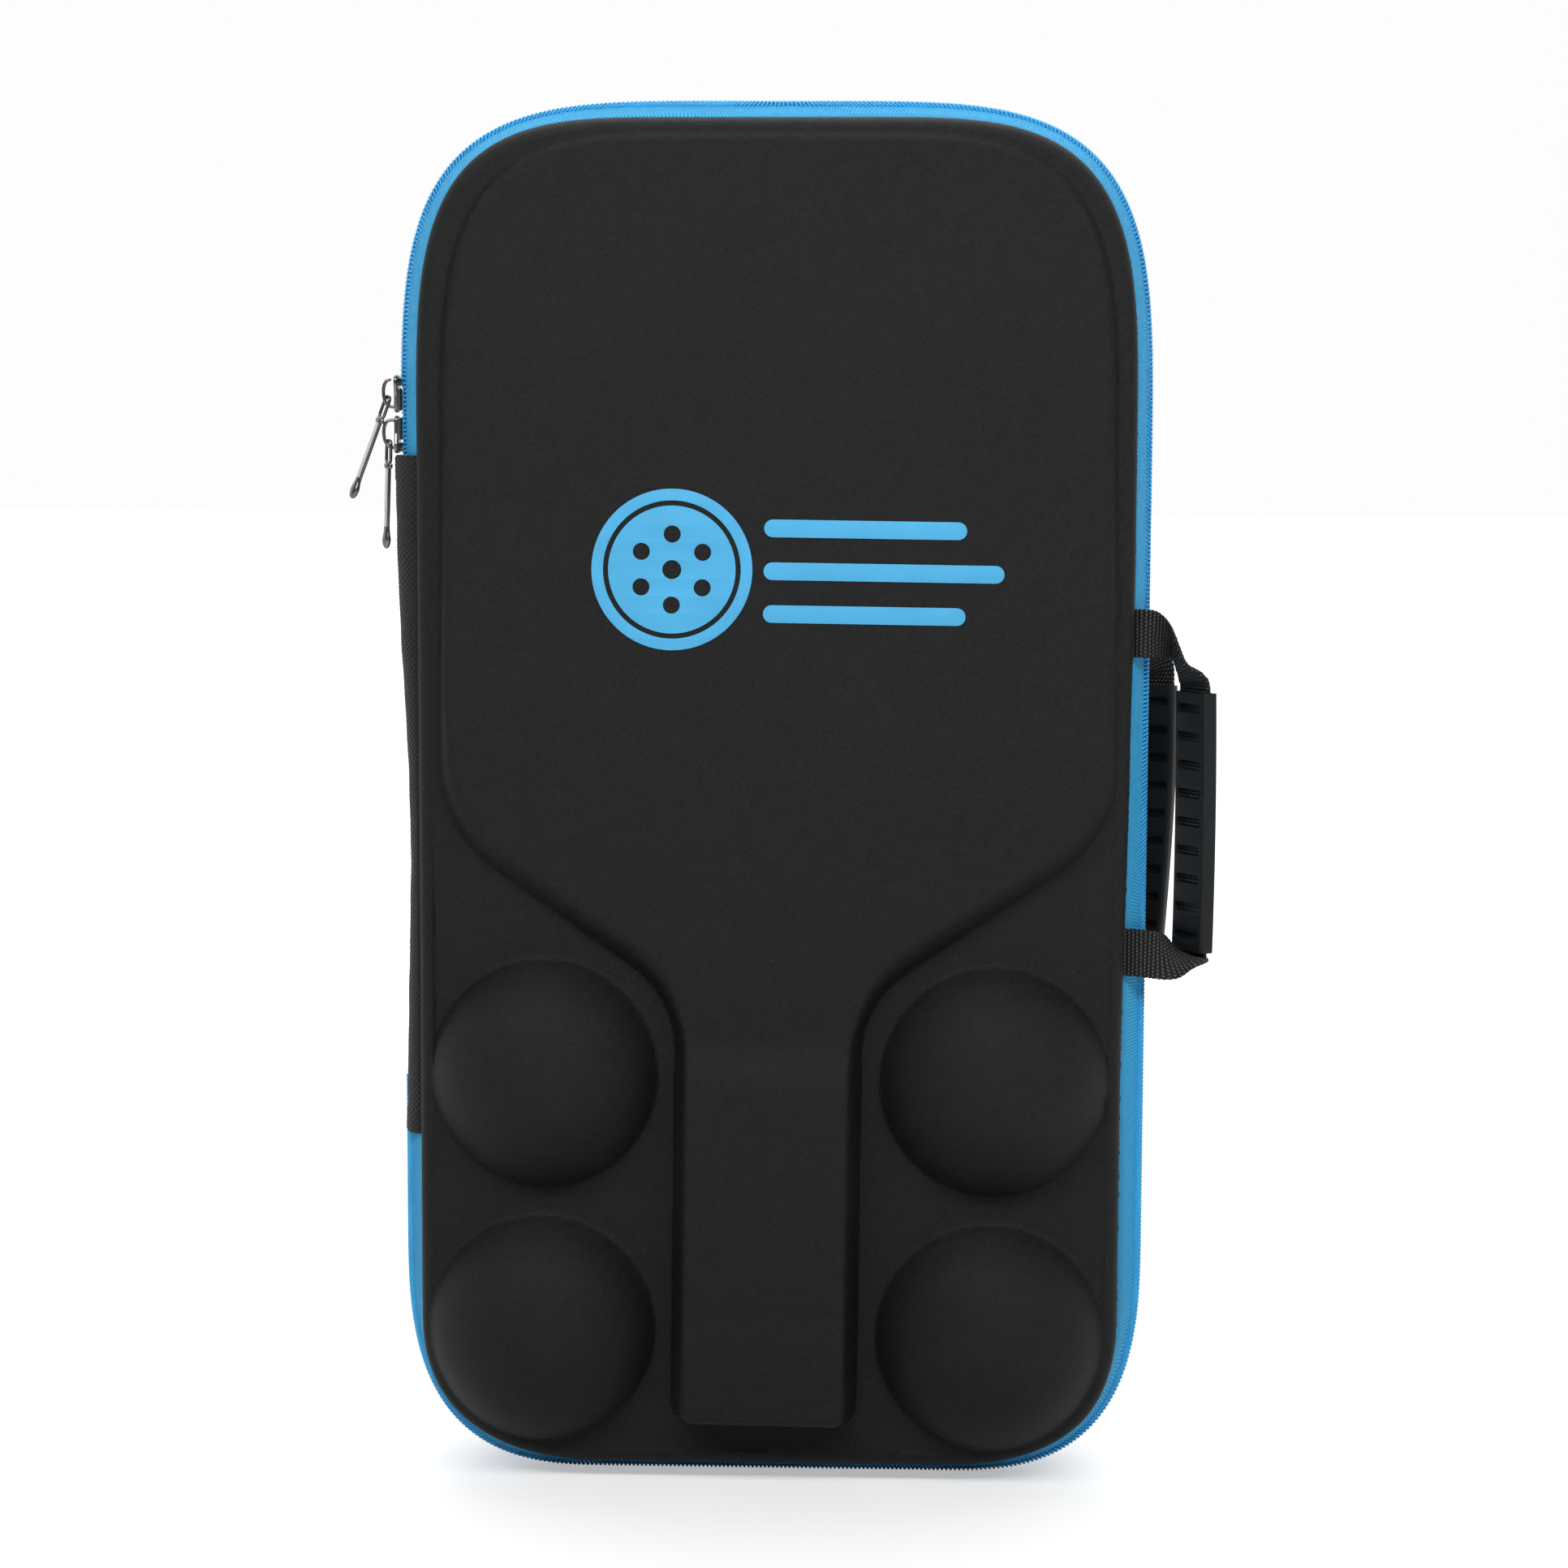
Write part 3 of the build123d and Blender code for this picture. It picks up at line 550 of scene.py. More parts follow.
def face_patch(t, pitch, r, s, out, inset, dense_x=(), dense_z=(), detail=True):
    """Triangulated moulded face inside the rim. Returns verts (x, d, z), quads, tris; the first len(r) verts are its border ring."""
    ring = at(r, s, out, -inset)
    us = column_lines(-112, 112, pitch, dense_x)
    vs = column_lines(8, 438, pitch, dense_z)
    U, V = np.meshgrid(us, vs, indexing="ij")
    dx, dz = U, V - PIV
    X = FX + dx * math.cos(TILT) + dz * math.sin(TILT)
    Z = PIV - dx * math.sin(TILT) + dz * math.cos(TILT)
    # pull lattice points onto the dome edges so that the crease is clean
    rb = math.sqrt((BALL_R - t) ** 2 - (BASE_D - t) ** 2)
    for bx, bz in BALLS:
        rr = np.hypot((X - bx) / 1.008, (Z - bz) / 1.036)
        near = np.abs(rr - rb) < 0.42 * pitch
        k = np.where(near, rb / np.maximum(rr, 1e-6), 1.0)
        X, Z = bx + (X - bx) * k, bz + (Z - bz) * k
    # inside test against the ring, by distance
    poly = ring[:: max(1, len(ring) // 240)]
    sd = poly_dist(X.ravel(), Z.ravel(), poly).reshape(X.shape)
    ok = sd > 0.55 * pitch
    n, m = X.shape
    cell = ok[:-1, :-1] & ok[1:, :-1] & ok[1:, 1:] & ok[:-1, 1:]
    used = np.zeros_like(ok)
    used[:-1, :-1] |= cell
    used[1:, :-1] |= cell
    used[1:, 1:] |= cell
    used[:-1, 1:] |= cell
    num = -np.ones(ok.shape, np.int64)
    num[used] = np.arange(used.sum()) + len(ring)
    ci, cj = np.nonzero(cell)
    quads = np.stack([num[ci, cj], num[ci + 1, cj], num[ci + 1, cj + 1], num[ci, cj + 1]], 1)
    # border of the lattice
    border = set()
    ei = []
    cp = np.pad(cell, 1)
    for di, dj, a, b in ((-1, 0, (0, 0), (0, 1)), (1, 0, (1, 0), (1, 1)), (0, -1, (0, 0), (1, 0)), (0, 1, (0, 1), (1, 1))):
        miss = cell & ~cp[1 + di : cp.shape[0] - 1 + di, 1 + dj : cp.shape[1] - 1 + dj]
        bi, bj = np.nonzero(miss)
        ei += list(zip(num[bi + a[0], bj + a[1]], num[bi + b[0], bj + b[1]]))
    bverts = sorted({int(q) for e in ei for q in e})
    pos = {q: i for i, q in enumerate(bverts)}
    xy = np.zeros((len(ring) + int(used.sum()), 2))
    xy[: len(ring)] = ring
    xy[len(ring):] = np.stack([X[used], Z[used]], 1)
    pts = [Vector(xy[i]) for i in range(len(ring))] + [Vector(xy[q]) for q in bverts]
    edges = [(i, (i + 1) % len(ring)) for i in range(len(ring))] + [(len(ring) + pos[int(a)], len(ring) + pos[int(b)]) for a, b in ei]
    res = geometry.delaunay_2d_cdt(pts, edges, [], 0, 1e-7, True)
    vmap = []
    for o in res[3]:
        q = o[0]
        vmap.append(q if q < len(ring) else bverts[q - len(ring)])
    # lattice coordinates of a triangle's middle tell whether it lies in the lattice
    tris = []
    ctil, stil = math.cos(TILT), math.sin(TILT)
    for f in res[2]:
        idx = [vmap[q] for q in f]
        c = xy[idx].mean(0)
        ddx, ddz = c[0] - FX, c[1] - PIV
        uu = ddx * ctil - ddz * stil
        vv = ddx * stil + ddz * ctil + PIV
        i = int(np.searchsorted(us, uu) - 1)
        j = int(np.searchsorted(vs, vv) - 1)
        if 0 <= i < n - 1 and 0 <= j < m - 1 and cell[i, j] and all(q >= len(ring) for q in idx):
            continue
        a, b, c2 = xy[idx]
        if (b[0] - a[0]) * (c2[1] - a[1]) - (b[1] - a[1]) * (c2[0] - a[0]) < 0:
            idx = idx[::-1]
        tris.append(idx)
    d = depth(xy[:, 0], xy[:, 1], t, detail)
    return np.stack([xy[:, 0], d, xy[:, 1]], 1), quads, np.array(tris, np.int64)


def edge_rings(r, s, out, t, detail=True):
    """Rings from the rim plane round the edge fillet to the moulded face, outer (t = 0) or inner."""
    rows = []
    rad = EDGE_R if t == 0 else max(EDGE_R - t, 1.0)
    off0 = -t
    flat = BASE_D - t
    prof = [(off0, RIM_D)] if t else [(off0 - 0.45, RIM_D - 0.02), (off0 - 0.12, RIM_D + 0.1), (off0, RIM_D + 0.5)]
    prof += [(off0 + (0.12 if t == 0 else 0), (RIM_D + flat - rad) / 2 + 0.4), (off0, flat - rad)]
    for a in (12, 25, 38, 51, 64, 76, 86):
        th = math.radians(a)
        prof.append((off0 - rad + rad * math.cos(th), flat - rad + rad * math.sin(th)))
    for o, d in prof:
        p = at(r, s, out, o)
        extra = 0.0
        if d > flat - rad + 0.1:
            extra = depth(p[:, 0], p[:, 1], t, detail) - flat
            extra = np.maximum(extra, -0.2) * np.clip((d - (flat - rad)) / rad, 0, 1)
        rows.append(np.stack([p[:, 0], np.full(len(p), d) + extra, p[:, 1]], 1))
    return rows, off0 - rad - 0.25


NR = 780


def build_shell():
    r, s, tan, out, t, L = resample(NR)
    pitch = 0.9
    dx = [(-34, -23, pitch * 0.5), (23, 34, pitch * 0.5)]
    dz = [(18, 27, pitch * 0.6), (240, 345, pitch * 2.2)]
    rows, inset = edge_rings(r, s, out, 0.0)
    V, quads, tris = face_patch(0.0, pitch, r, s, out, -inset, dx, dz)
    rows_i, inset_i = edge_rings(r, s, out, WALL, False)
    Vi, quads_i, tris_i = face_patch(WALL, 2.4, r, s, out, -inset_i, detail=False)
    # assemble: [outer patch][outer rings][inner rings][inner patch]
    verts = [V]
    uvs = [V[:, [0, 2]]]
    faces4, faces3 = [quads], [tris]
    n = len(r)
    off = len(V)
    ring_ids = [np.arange(n)]
    prev, arc = V[:n], np.zeros(n)
    for row in rows[::-1]:
        verts.append(row)
        arc = arc + np.linalg.norm(row - prev, axis=1)
        prev = row
        uvs.append(V[:n][:, [0, 2]] + out * arc[:, None])
        ring_ids.append(np.arange(n) + off)
        off += n
    for row in rows_i:
        verts.append(row)
        uvs.append(row[:, [0, 2]])
        ring_ids.append(np.arange(n) + off)
        off += n
    verts.append(Vi)
    uvs.append(Vi[:, [0, 2]])
    base_i = off
    ring_ids.append(np.arange(n) + off)
    for a, b in zip(ring_ids[:-1], ring_ids[1:]):
        faces4.append(np.stack([a, b, np.roll(b, -1), np.roll(a, -1)], 1))
    n_outer4 = sum(len(f) for f in faces4)
    faces4.append(quads_i[:, ::-1] + base_i)
    faces3.append(tris_i[:, ::-1] + base_i)
    return np.concatenate(verts), np.concatenate(faces4), np.concatenate(faces3), np.concatenate(uvs)


def place(V, side):
    """(x, d, z) to (x, y, z): the front shell has y = -d."""
    return np.stack([V[:, 0], -V[:, 1] if side < 0 else V[:, 1], V[:, 2]], 1)


def both(name, V, f4, f3, mats, uv4=None, uv3=None):
    """Front and back copies, with faces turned outward."""
    out = []
    for side, label, body in ((-1, "front", "front_case"), (1, "back", "back_case")):
        q4 = f4 if side < 0 else f4[:, ::-1]
        q3 = None if f3 is None or not len(f3) else (f3 if side < 0 else f3[:, ::-1])
        fs = [q4] + ([q3] if q3 is not None else [])
        uv = None
        if uv4 is not None:
            uv = [uv4 if side < 0 else uv4[:, ::-1]]
            if q3 is not None:
                uv.append(uv3 if side < 0 else uv3[:, ::-1])
        ob = make(f"{label}_{name}", place(V, side), fs, mats, uv)
        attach(ob, body)
        out.append(ob)
    return out


SV, S4, S3, SUV = build_shell()
shells = both("shell_skin", SV, S4, S3, [m_shell], SUV[S4], SUV[S3])
for ob, n in zip(shells, ("front_shell", "back_shell")):
    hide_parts(n)


def build_lining():
    r, s, tan, out, t, L = resample(420)
    n = len(r)
    verts, f4, f3, ids = [], [], [], []
    off = 0
    ra, ia = edge_rings(r, s, out, WALL + 0.05, False)
    Va, qa, ta = face_patch(WALL + 0.05, 3.2, r, s, out, -ia, detail=False)
    rb, ib = edge_rings(r, s, out, WALL + 0.6, False)
    Vb, qb, tb = face_patch(WALL + 0.6, 1.6, r, s, out, -ib, detail=False)
    verts.append(Va)
    ids.append(np.arange(n))
    off = len(Va)
    for row in ra[::-1]:
        verts.append(row)
        ids.append(np.arange(n) + off)
        off += n
    for row in rb:
        verts.append(row)
        ids.append(np.arange(n) + off)
        off += n
    verts.append(Vb)
    ids.append(np.arange(n) + off)
    f4 = [qa] + [np.stack([a, b, np.roll(b, -1), np.roll(a, -1)], 1) for a, b in zip(ids[:-1], ids[1:])] + [qb[:, ::-1] + off]
    f3 = [ta, tb[:, ::-1] + off]
    return np.concatenate(verts), np.concatenate(f4), np.concatenate(f3)


LV, L4, L3 = build_lining()
linings = both("lining_skin", LV, L4, L3, [m_lining])
for ob, n in zip(linings, ("front_lining", "back_lining")):
    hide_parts(n)


# ---------------------------------------------------------------- zip tapes
def path_sweep(prof, n, keep=None, jitter=None):
    """Sweep a closed (off, d) profile along the outline. keep is not used."""
    r, s, tan, out, t, L = resample(n)
    prof = np.array(prof, float)
    rows = []
    for k, (o, d) in enumerate(prof):
        p = at(r, s, out, o)
        rows.append(np.stack([p[:, 0], np.full(n, d), p[:, 1]], 1))
    P = np.stack(rows, 1)          # (n, m, 3)
    return P, t, L


def open_range(n, z_top, z_bot):
    """Index order that starts just above the strip on the left side, goes all the way round clockwise-free, and ends just under it."""
    r, s, tan, out, t, L = resample(n)
    left = r[:, 0] < -100
    top = np.nonzero(left & (r[:, 1] <= z_top))[0][0]      # first point, going down the left side, at z_top
    bot = np.nonzero(left & (r[:, 1] <= z_bot) & (r[:, 1] > 60))[0][0]
    return np.concatenate([np.arange(bot, n), np.arange(0, top)])


def offset_polyline(pts, dist):
    p = np.array(pts, float)
    tan = np.gradient(p, axis=0)
    tan /= np.linalg.norm(tan, axis=1)[:, None]
    nrm = np.stack([tan[:, 1], -tan[:, 0]], 1)
    return p + nrm * dist


tape_line = np.array([(-6.0, 8.52), (-3.0, 8.52), (-0.9, 8.52), (0.1, 8.42), (0.75, 7.95), (1.4, 7.1), (2.1, 6.05), (2.8, 4.95), (3.4, 4.0), (3.9, 3.2), (4.3, 2.55)])
tape_in = offset_polyline(tape_line, 0.52)
if np.mean(tape_in[:, 1]) > np.mean(tape_line[:, 1]):
    tape_in = offset_polyline(tape_line, -0.52)
tape_prof = np.vstack([tape_line, [(4.3, 2.3)], tape_in[::-1]])
NT = 900


def lens(prof):
    q = np.vstack([prof, prof[:1]])
    return np.concatenate([[0], np.cumsum(np.linalg.norm(np.diff(q, axis=0), axis=1))])


def swept(prof, n, idx, name, mats, jit=0.0, body=True, vmap=None):
    P, t, L = path_sweep(prof, n)
    P = P[idx]
    U = np.arange(len(idx) + 1) * (L / n)
    V = lens(prof) if vmap is None else vmap
    m = len(prof)
    quads, uv = grid_quads(len(idx), m, False, True, U, V)
    verts = P.reshape(-1, 3)
    if jit:
        ph = np.repeat(U[:-1], m)
        verts = verts + np.stack([np.zeros(len(verts)), jit * np.sin(ph * 0.55) * np.sin(ph * 0.113 + 1), np.zeros(len(verts))], 1)
    caps = [np.arange(m)[None, :], (np.arange(m)[::-1] + (len(idx) - 1) * m)[None, :]]
    return verts, quads, uv, caps


idx_t = open_range(NT, 331.5, 115.5)
tv, tq, tuv, tcaps = swept(tape_prof, NT, idx_t, "tape", [m_tape])


def both_swept(name, verts, quads, uv, caps, mats, nodes):
    obs = []
    for side, label, body, node in ((-1, "front", "front_case", nodes[0]), (1, "back", "back_case", nodes[1])):
        q = quads if side > 0 else quads[:, ::-1]
        u = uv if side > 0 else uv[:, ::-1]
        cs = [c if side < 0 else c[:, ::-1] for c in caps]
        cu = [np.zeros((1, c.shape[1], 2)) for c in caps]
        ob = make(f"{label}_{name}", place(verts, side), [q] + cs, mats, [u] + cu)
        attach(ob, body)
        if node:
            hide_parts(node)
        obs.append(ob)
    return obs


tapes = both_swept("zip_tape_woven", tv, tq, tuv, tcaps, [m_tape], ("front_zip_tape", "back_zip_tape"))

bind_prof = [(-8.2, 7.15), (-8.2, 7.75), (-8.0, 7.92), (-5.1, 7.92), (-4.9, 7.75), (-4.9, 7.15), (-5.1, 6.98), (-8.0, 6.98)]
bv, bq, buv, bcaps = swept(np.array(bind_prof), 600, open_range(600, 331.5, 115.5), "bind", [m_bind])
both_swept("binding_tape", bv, bq, buv, bcaps, [m_bind], ("front_seam_binding", "back_seam_binding"))


# -------------------------------------------------------------------- coils
def build_coil(phase):
    """Flattened nylon helix along the tape's edge, from one end of the strip round to the other."""
    r, s, tan, out, t, L = resample(3000)
    idx = open_range(3000, 334.2, 112.6)
    r, s, out, tan = r[idx], s[idx], out[idx], tan[idx]
    mid = at(r, s, out, 4.6)
    lens_ = np.concatenate([[0], np.cumsum(np.linalg.norm(np.diff(mid, axis=0), axis=1))])
    pitch, per = 1.36, 12
    turns = int(lens_[-1] / pitch)
    n = turns * per
    tt = np.linspace(0, turns * pitch, n)
    ph = 2 * math.pi * (np.arange(n) / per) + phase
    zc = np.interp(tt, lens_, r[:, 1])
    xc = np.interp(tt, lens_, r[:, 0])
    inside = np.where(xc < -100, smooth(333.0, 334.5, zc) * (1 - smooth(359.0, 360.5, zc)), 0.0)
    a, b = 1.30 * (1 - 0.5 * inside), 0.78 * (1 - 0.4 * inside)
    e1, e2 = np.array([0.62, -0.785]), np.array([0.785, 0.62])
    c = np.array([4.86, 1.42])
    so = c[0] + a * np.cos(ph) * e1[0] + b * np.sin(ph) * e2[0]
    dd = c[1] + a * np.cos(ph) * e1[1] + b * np.sin(ph) * e2[1]
    R = np.stack([np.interp(tt, lens_, r[:, i]) for i in (0, 1)], 1)
    S = np.stack([np.interp(tt, lens_, s[:, i]) for i in (0, 1)], 1)
    p = R + (S - R) * (so / SEAM_S)[:, None]
    C = np.stack([p[:, 0], dd, p[:, 1]], 1)
    T = np.gradient(C, axis=0)
    T /= np.linalg.norm(T, axis=1)[:, None]
    ctr2 = R + (S - R) * (c[0] / SEAM_S)
    ctr = np.stack([ctr2[:, 0], np.full(n, c[1]), ctr2[:, 1]], 1)
    N = C - ctr
    N -= (N * T).sum(1)[:, None] * T
    N /= np.linalg.norm(N, axis=1)[:, None]
    B = np.cross(T, N)
    k = 6
    w = 0.34
    ring = []
    for j in range(k):
        th = 2 * math.pi * j / k
        ring.append(C + w * (math.cos(th) * N + math.sin(th) * B))
    P = np.stack(ring, 1)
    quads, uv = grid_quads(n, k, False, True, np.arange(n + 1) * 1.0, np.arange(k + 1) * 1.0)
    caps = [np.arange(k)[None, :], (np.arange(k)[::-1] + (n - 1) * k)[None, :]]
    return P.reshape(-1, 3), quads, uv, caps


cv, cq, cuv, ccaps = build_coil(0.0)
cv2, cq2, cuv2, ccaps2 = build_coil(math.pi)
for side, label, body, V_, Q_, U_, C_ in ((-1, "front", "front_case", cv, cq, cuv, ccaps), (1, "back", "back_case", cv2, cq2, cuv2, ccaps2)):
    q = Q_ if side < 0 else Q_[:, ::-1]
    u = U_ if side < 0 else U_[:, ::-1]
    cs = [c if side > 0 else c[:, ::-1] for c in C_]
    ob = make(f"{label}_zip_coil_turns", place(V_, side), [q] + cs, [m_coil], [u] + [np.zeros((1, c.shape[1], 2)) for c in cs])
    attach(ob, body)
    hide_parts(f"{label}_zip_coil")


# ------------------------------------------------------------------ stitches
def capsules(centres, tangents, normals, length, radius, k=6):
    """Small rounded threads, one mesh."""
    prof = [(-0.5, 0.0), (-0.46, 0.55), (-0.32, 0.9), (0.0, 1.0), (0.32, 0.9), (0.46, 0.55), (0.5, 0.0)]
    C, T, N = (np.asarray(q, float) for q in (centres, tangents, normals))
    B = np.cross(T, N)
    rows = []
    for a, rr in prof:
        for j in range(k):
            th = 2 * math.pi * j / k
            rows.append(C + T * (a * length) + (N * math.cos(th) * 0.8 + B * math.sin(th)) * (radius * max(rr, 0.05)))
    V = np.stack(rows, 1)
    n, m = V.shape[0], V.shape[1]
    quads = []
    for a in range(len(prof) - 1):
        for j in range(k):
            quads.append([a * k + j, a * k + (j + 1) % k, (a + 1) * k + (j + 1) % k, (a + 1) * k + j])
    quads = np.array(quads)
    Q = (quads[None] + (np.arange(n) * m)[:, None, None]).reshape(-1, 4)
    cap = np.array([list(range(k))[::-1], list(range((len(prof) - 1) * k, len(prof) * k))])
    Cp = (cap[None] + (np.arange(n) * m)[:, None, None]).reshape(-1, k)
    return V.reshape(-1, 3), Q, Cp


def rim_stitches():
    r, s, tan, out, t, L = resample(430)
    idx = open_range(430, 331, 116)
    rng = np.random.default_rng(7)
    off = 0.16 + rng.uniform(-0.14, 0.16, len(idx))
    p = at(r[idx], s[idx], out[idx], off)
    C = np.stack([p[:, 0], np.full(len(idx), 8.42) - (off - 0.3) * 0.9, p[:, 1]], 1)
    T = np.stack([tan[idx, 0], rng.uniform(-0.1, 0.1, len(idx)), tan[idx, 1]], 1)
    T += np.stack([out[idx, 0], np.zeros(len(idx)), out[idx, 1]], 1) * rng.uniform(-0.15, 0.15, len(idx))[:, None]
    T /= np.linalg.norm(T, axis=1)[:, None]
    N = np.stack([out[idx, 0] * 0.7, np.full(len(idx), 0.7), out[idx, 1] * 0.7], 1)
    N -= (N * T).sum(1)[:, None] * T
    N /= np.linalg.norm(N, axis=1)[:, None]
    return capsules(C, T, N, 1.9, 0.19)


qv, qq, qc = rim_stitches()
for side, label, body in ((-1, "front", "front_case"), (1, "back", "back_case")):
    ob = make(f"{label}_rim_stitches", place(qv, side), [qq if side > 0 else qq[:, ::-1], qc if side > 0 else qc[:, ::-1]], [m_thread])
    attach(ob, body)


# --------------------------------------------------------------- spine strip
def build_spine():
    zs = np.array([113, 164.2, 204.3, 236.3, 278.5, 310, 334.6])
    xs = np.array([120.1, 118.9, 117.9, 118.6, 120.9, 121.9, 121.8])
    n = 420
    m = 64
    z = np.linspace(STRIP_LO, STRIP_HI, n)
    X = np.interp(z, zs, xs)
    ker = np.ones(n // 8) / (n // 8)
    X = np.convolve(np.pad(X, n // 16, mode="edge"), ker, mode="same")[n // 16 : n // 16 + n]
    th = np.linspace(-1, 1, m)
    # path across: under one rim, round the outside, under the other
    yy = 8.45 * np.sin(th * math.pi / 2 * 0.98) / math.sin(math.pi / 2 * 0.98)
    pull = np.clip(1 - np.abs(yy / 8.5) ** 2.6, 0, 1) ** 0.62
    Z, Y = np.meshgrid(z, yy, indexing="ij")
    base = 114.6
    xx = -(base + (X[:, None] - base) * pull[None, :])
    # inner edge runs in under the rims
    tuck = smooth(0.9, 1.0, np.abs(th))
    xx = xx + tuck[None, :] * 1.8
    xx = xx + 0.10 * np.sin(Z * 0.31 + Y * 0.4) * np.sin(Z * 0.083 + 1) * (1 - tuck[None, :])
    hem = 1.0 * (smooth(STRIP_HI - 8.5, STRIP_HI - 7.6, Z) + (1 - smooth(STRIP_LO + 7.6, STRIP_LO + 8.5, Z)))
    end = np.minimum(smooth(STRIP_HI, STRIP_HI - 0.8, Z), smooth(STRIP_LO, STRIP_LO + 0.8, Z))
    thick = (0.85 + 0.55 * hem) * (0.35 + 0.65 * end)
    # normals in the cross-section
    dx = np.gradient(xx, axis=1)
    dy = np.gradient(Y, axis=1)
    ln = np.hypot(dx, dy)
    nx, ny = -dy / ln, dx / ln
    wv = np.cos(Z * 2 * math.pi / 1.9) * np.cos(np.cumsum(ln, 1) * 2 * math.pi / 2.0)
    relief = 0.17 * wv
    o = np.stack([xx + nx * (thick / 2 + relief), Y + ny * (thick / 2 + relief), Z], 2)
    i = np.stack([xx - nx * (thick / 2), Y - ny * (thick / 2), Z], 2)
    L = np.cumsum(ln, 1)[0]
    P = np.concatenate([o, i[:, ::-1]], 1)
    mm = P.shape[1]
    V = np.concatenate([L, L[-1] + 1 + L[-1] - L[::-1], [2 * L[-1] + 2]])
    quads, uv = grid_quads(n, mm, False, True, np.concatenate([z, [z[-1]]]), V)
    caps = [np.arange(mm)[None, :], (np.arange(mm)[::-1] + (n - 1) * mm)[None, :]]
    return P.reshape(-1, 3), quads, uv, caps


pv, pq, puv, pcaps = build_spine()
spine = make("spine_strip_woven", pv, [pq[:, ::-1]] + pcaps, [m_spine], [puv[:, ::-1]] + [np.zeros((1, c.shape[1], 2)) for c in pcaps])
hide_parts("spine_strip")
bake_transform(spine)


# ------------------------------------------------------------------ handles
GF, AF, GB, AB = (136.3, 5.9), 33.0, (123.9, 32.5), 68.8
uf = (math.sin(math.radians(AF)), -math.cos(math.radians(AF)))
ub = (math.sin(math.radians(AB)), -math.cos(math.radians(AB)))
Af, Bf = (GF[0] + uf[0] * 7.7, GF[1] + uf[1] * 7.7), (GF[0] - uf[0] * 7.7, GF[1] - uf[1] * 7.7)
Ab, Bb = (GB[0] + ub[0] * 7.7, GB[1] + ub[1] * 7.7), (GB[0] - ub[0] * 7.7, GB[1] - ub[1] * 7.7)
front_A = [(110.2, -9.4, 285.7), (115.6, -9.4, 285.7), (118.5, -9.8, 285.7), (122.6, -10.5, 285.0), (126.6, -11.0, 281.0), (129.6, -9.5, 273.6),
           (132.4, -6.8, 268.0), (138.0, -3.6, 264.4), (*Af, 258.4), (*Af, 235), (*Af, 215), (*Af, 195), (*Af, 173.0),
           (140.9, -2.2, 171.4), (139.6, -7.2, 171.6), (134.5, -10.0, 170.6), (129.0, -10.6, 168.4), (123.0, -10.2, 166.6), (118.5, -9.8, 167.0), (115.6, -9.4, 167.3), (110.2, -9.4, 167.3)]
front_B = [(110.2, -9.4, 270.3), (115.6, -9.4, 270.3), (118.5, -9.8, 270.3), (122.6, -5.8, 270.4), (126.6, -0.6, 270.0), (129.0, 5.2, 269.0),
           (130.6, 8.2, 265.0), (131.3, 10.0, 261.6), (*Bf, 258.4), (*Bf, 235), (*Bf, 215), (*Bf, 195), (*Bf, 173.0),
           (131.6, 9.6, 170.6), (130.6, 4.0, 173.2), (129.6, 0.0, 175.4), (126.3, -6.6, 178.8), (123.4, -9.6, 182.0), (118.5, -9.8, 182.7), (115.6, -9.4, 182.7), (110.2, -9.4, 182.7)]
back_A = [(110.2, 9.4, 285.7), (115.6, 9.4, 285.7), (118.4, 11.6, 285.2), (121.6, 17.0, 281.6), (126.0, 22.2, 275.0), (130.0, 27.4, 266.6),
          (*Ab, 258.4), (*Ab, 235), (Ab[0] - 0.7, Ab[1], 215), (Ab[0] - 1.9, Ab[1], 195), (Ab[0] - 3.2, Ab[1], 173.0), (128.6, 27.6, 169.6), (128.4, 21.6, 166.6), (123.4, 16.2, 166.2), (118.6, 11.8, 167.0), (115.6, 9.4, 167.3), (110.2, 9.4, 167.3)]
back_B = [(110.2, 9.4, 270.3), (115.6, 9.4, 270.3), (118.0, 12.0, 269.8), (118.7, 18.6, 267.0), (117.6, 25.4, 263.4), (116.8, 31.6, 261.0),
          (*Bb, 258.4), (*Bb, 235), (Bb[0] - 0.7, Bb[1], 215), (Bb[0] - 1.9, Bb[1], 195), (Bb[0] - 3.2, Bb[1], 173.0), (115.4, 33.0, 169.2), (117.4, 28.4, 174.2), (118.6, 19.8, 180.2), (118.2, 12.1, 182.3), (115.6, 9.4, 182.7), (110.2, 9.4, 182.7)]


def catmull(pts, step):
    p = np.array(pts, float)
    p = np.vstack([2 * p[0] - p[1], p, 2 * p[-1] - p[-2]])
    out = []
    for i in range(1, len(p) - 2):
        for t in np.linspace(0, 1, step, endpoint=False):
            a, b, c, d = p[i - 1], p[i], p[i + 1], p[i + 2]
            out.append(0.5 * ((2 * b) + (-a + c) * t + (2 * a - 5 * b + 4 * c - d) * t * t + (-a + 3 * b - 3 * c + d) * t ** 3))
    out.append(p[-2])
    return np.array(out)


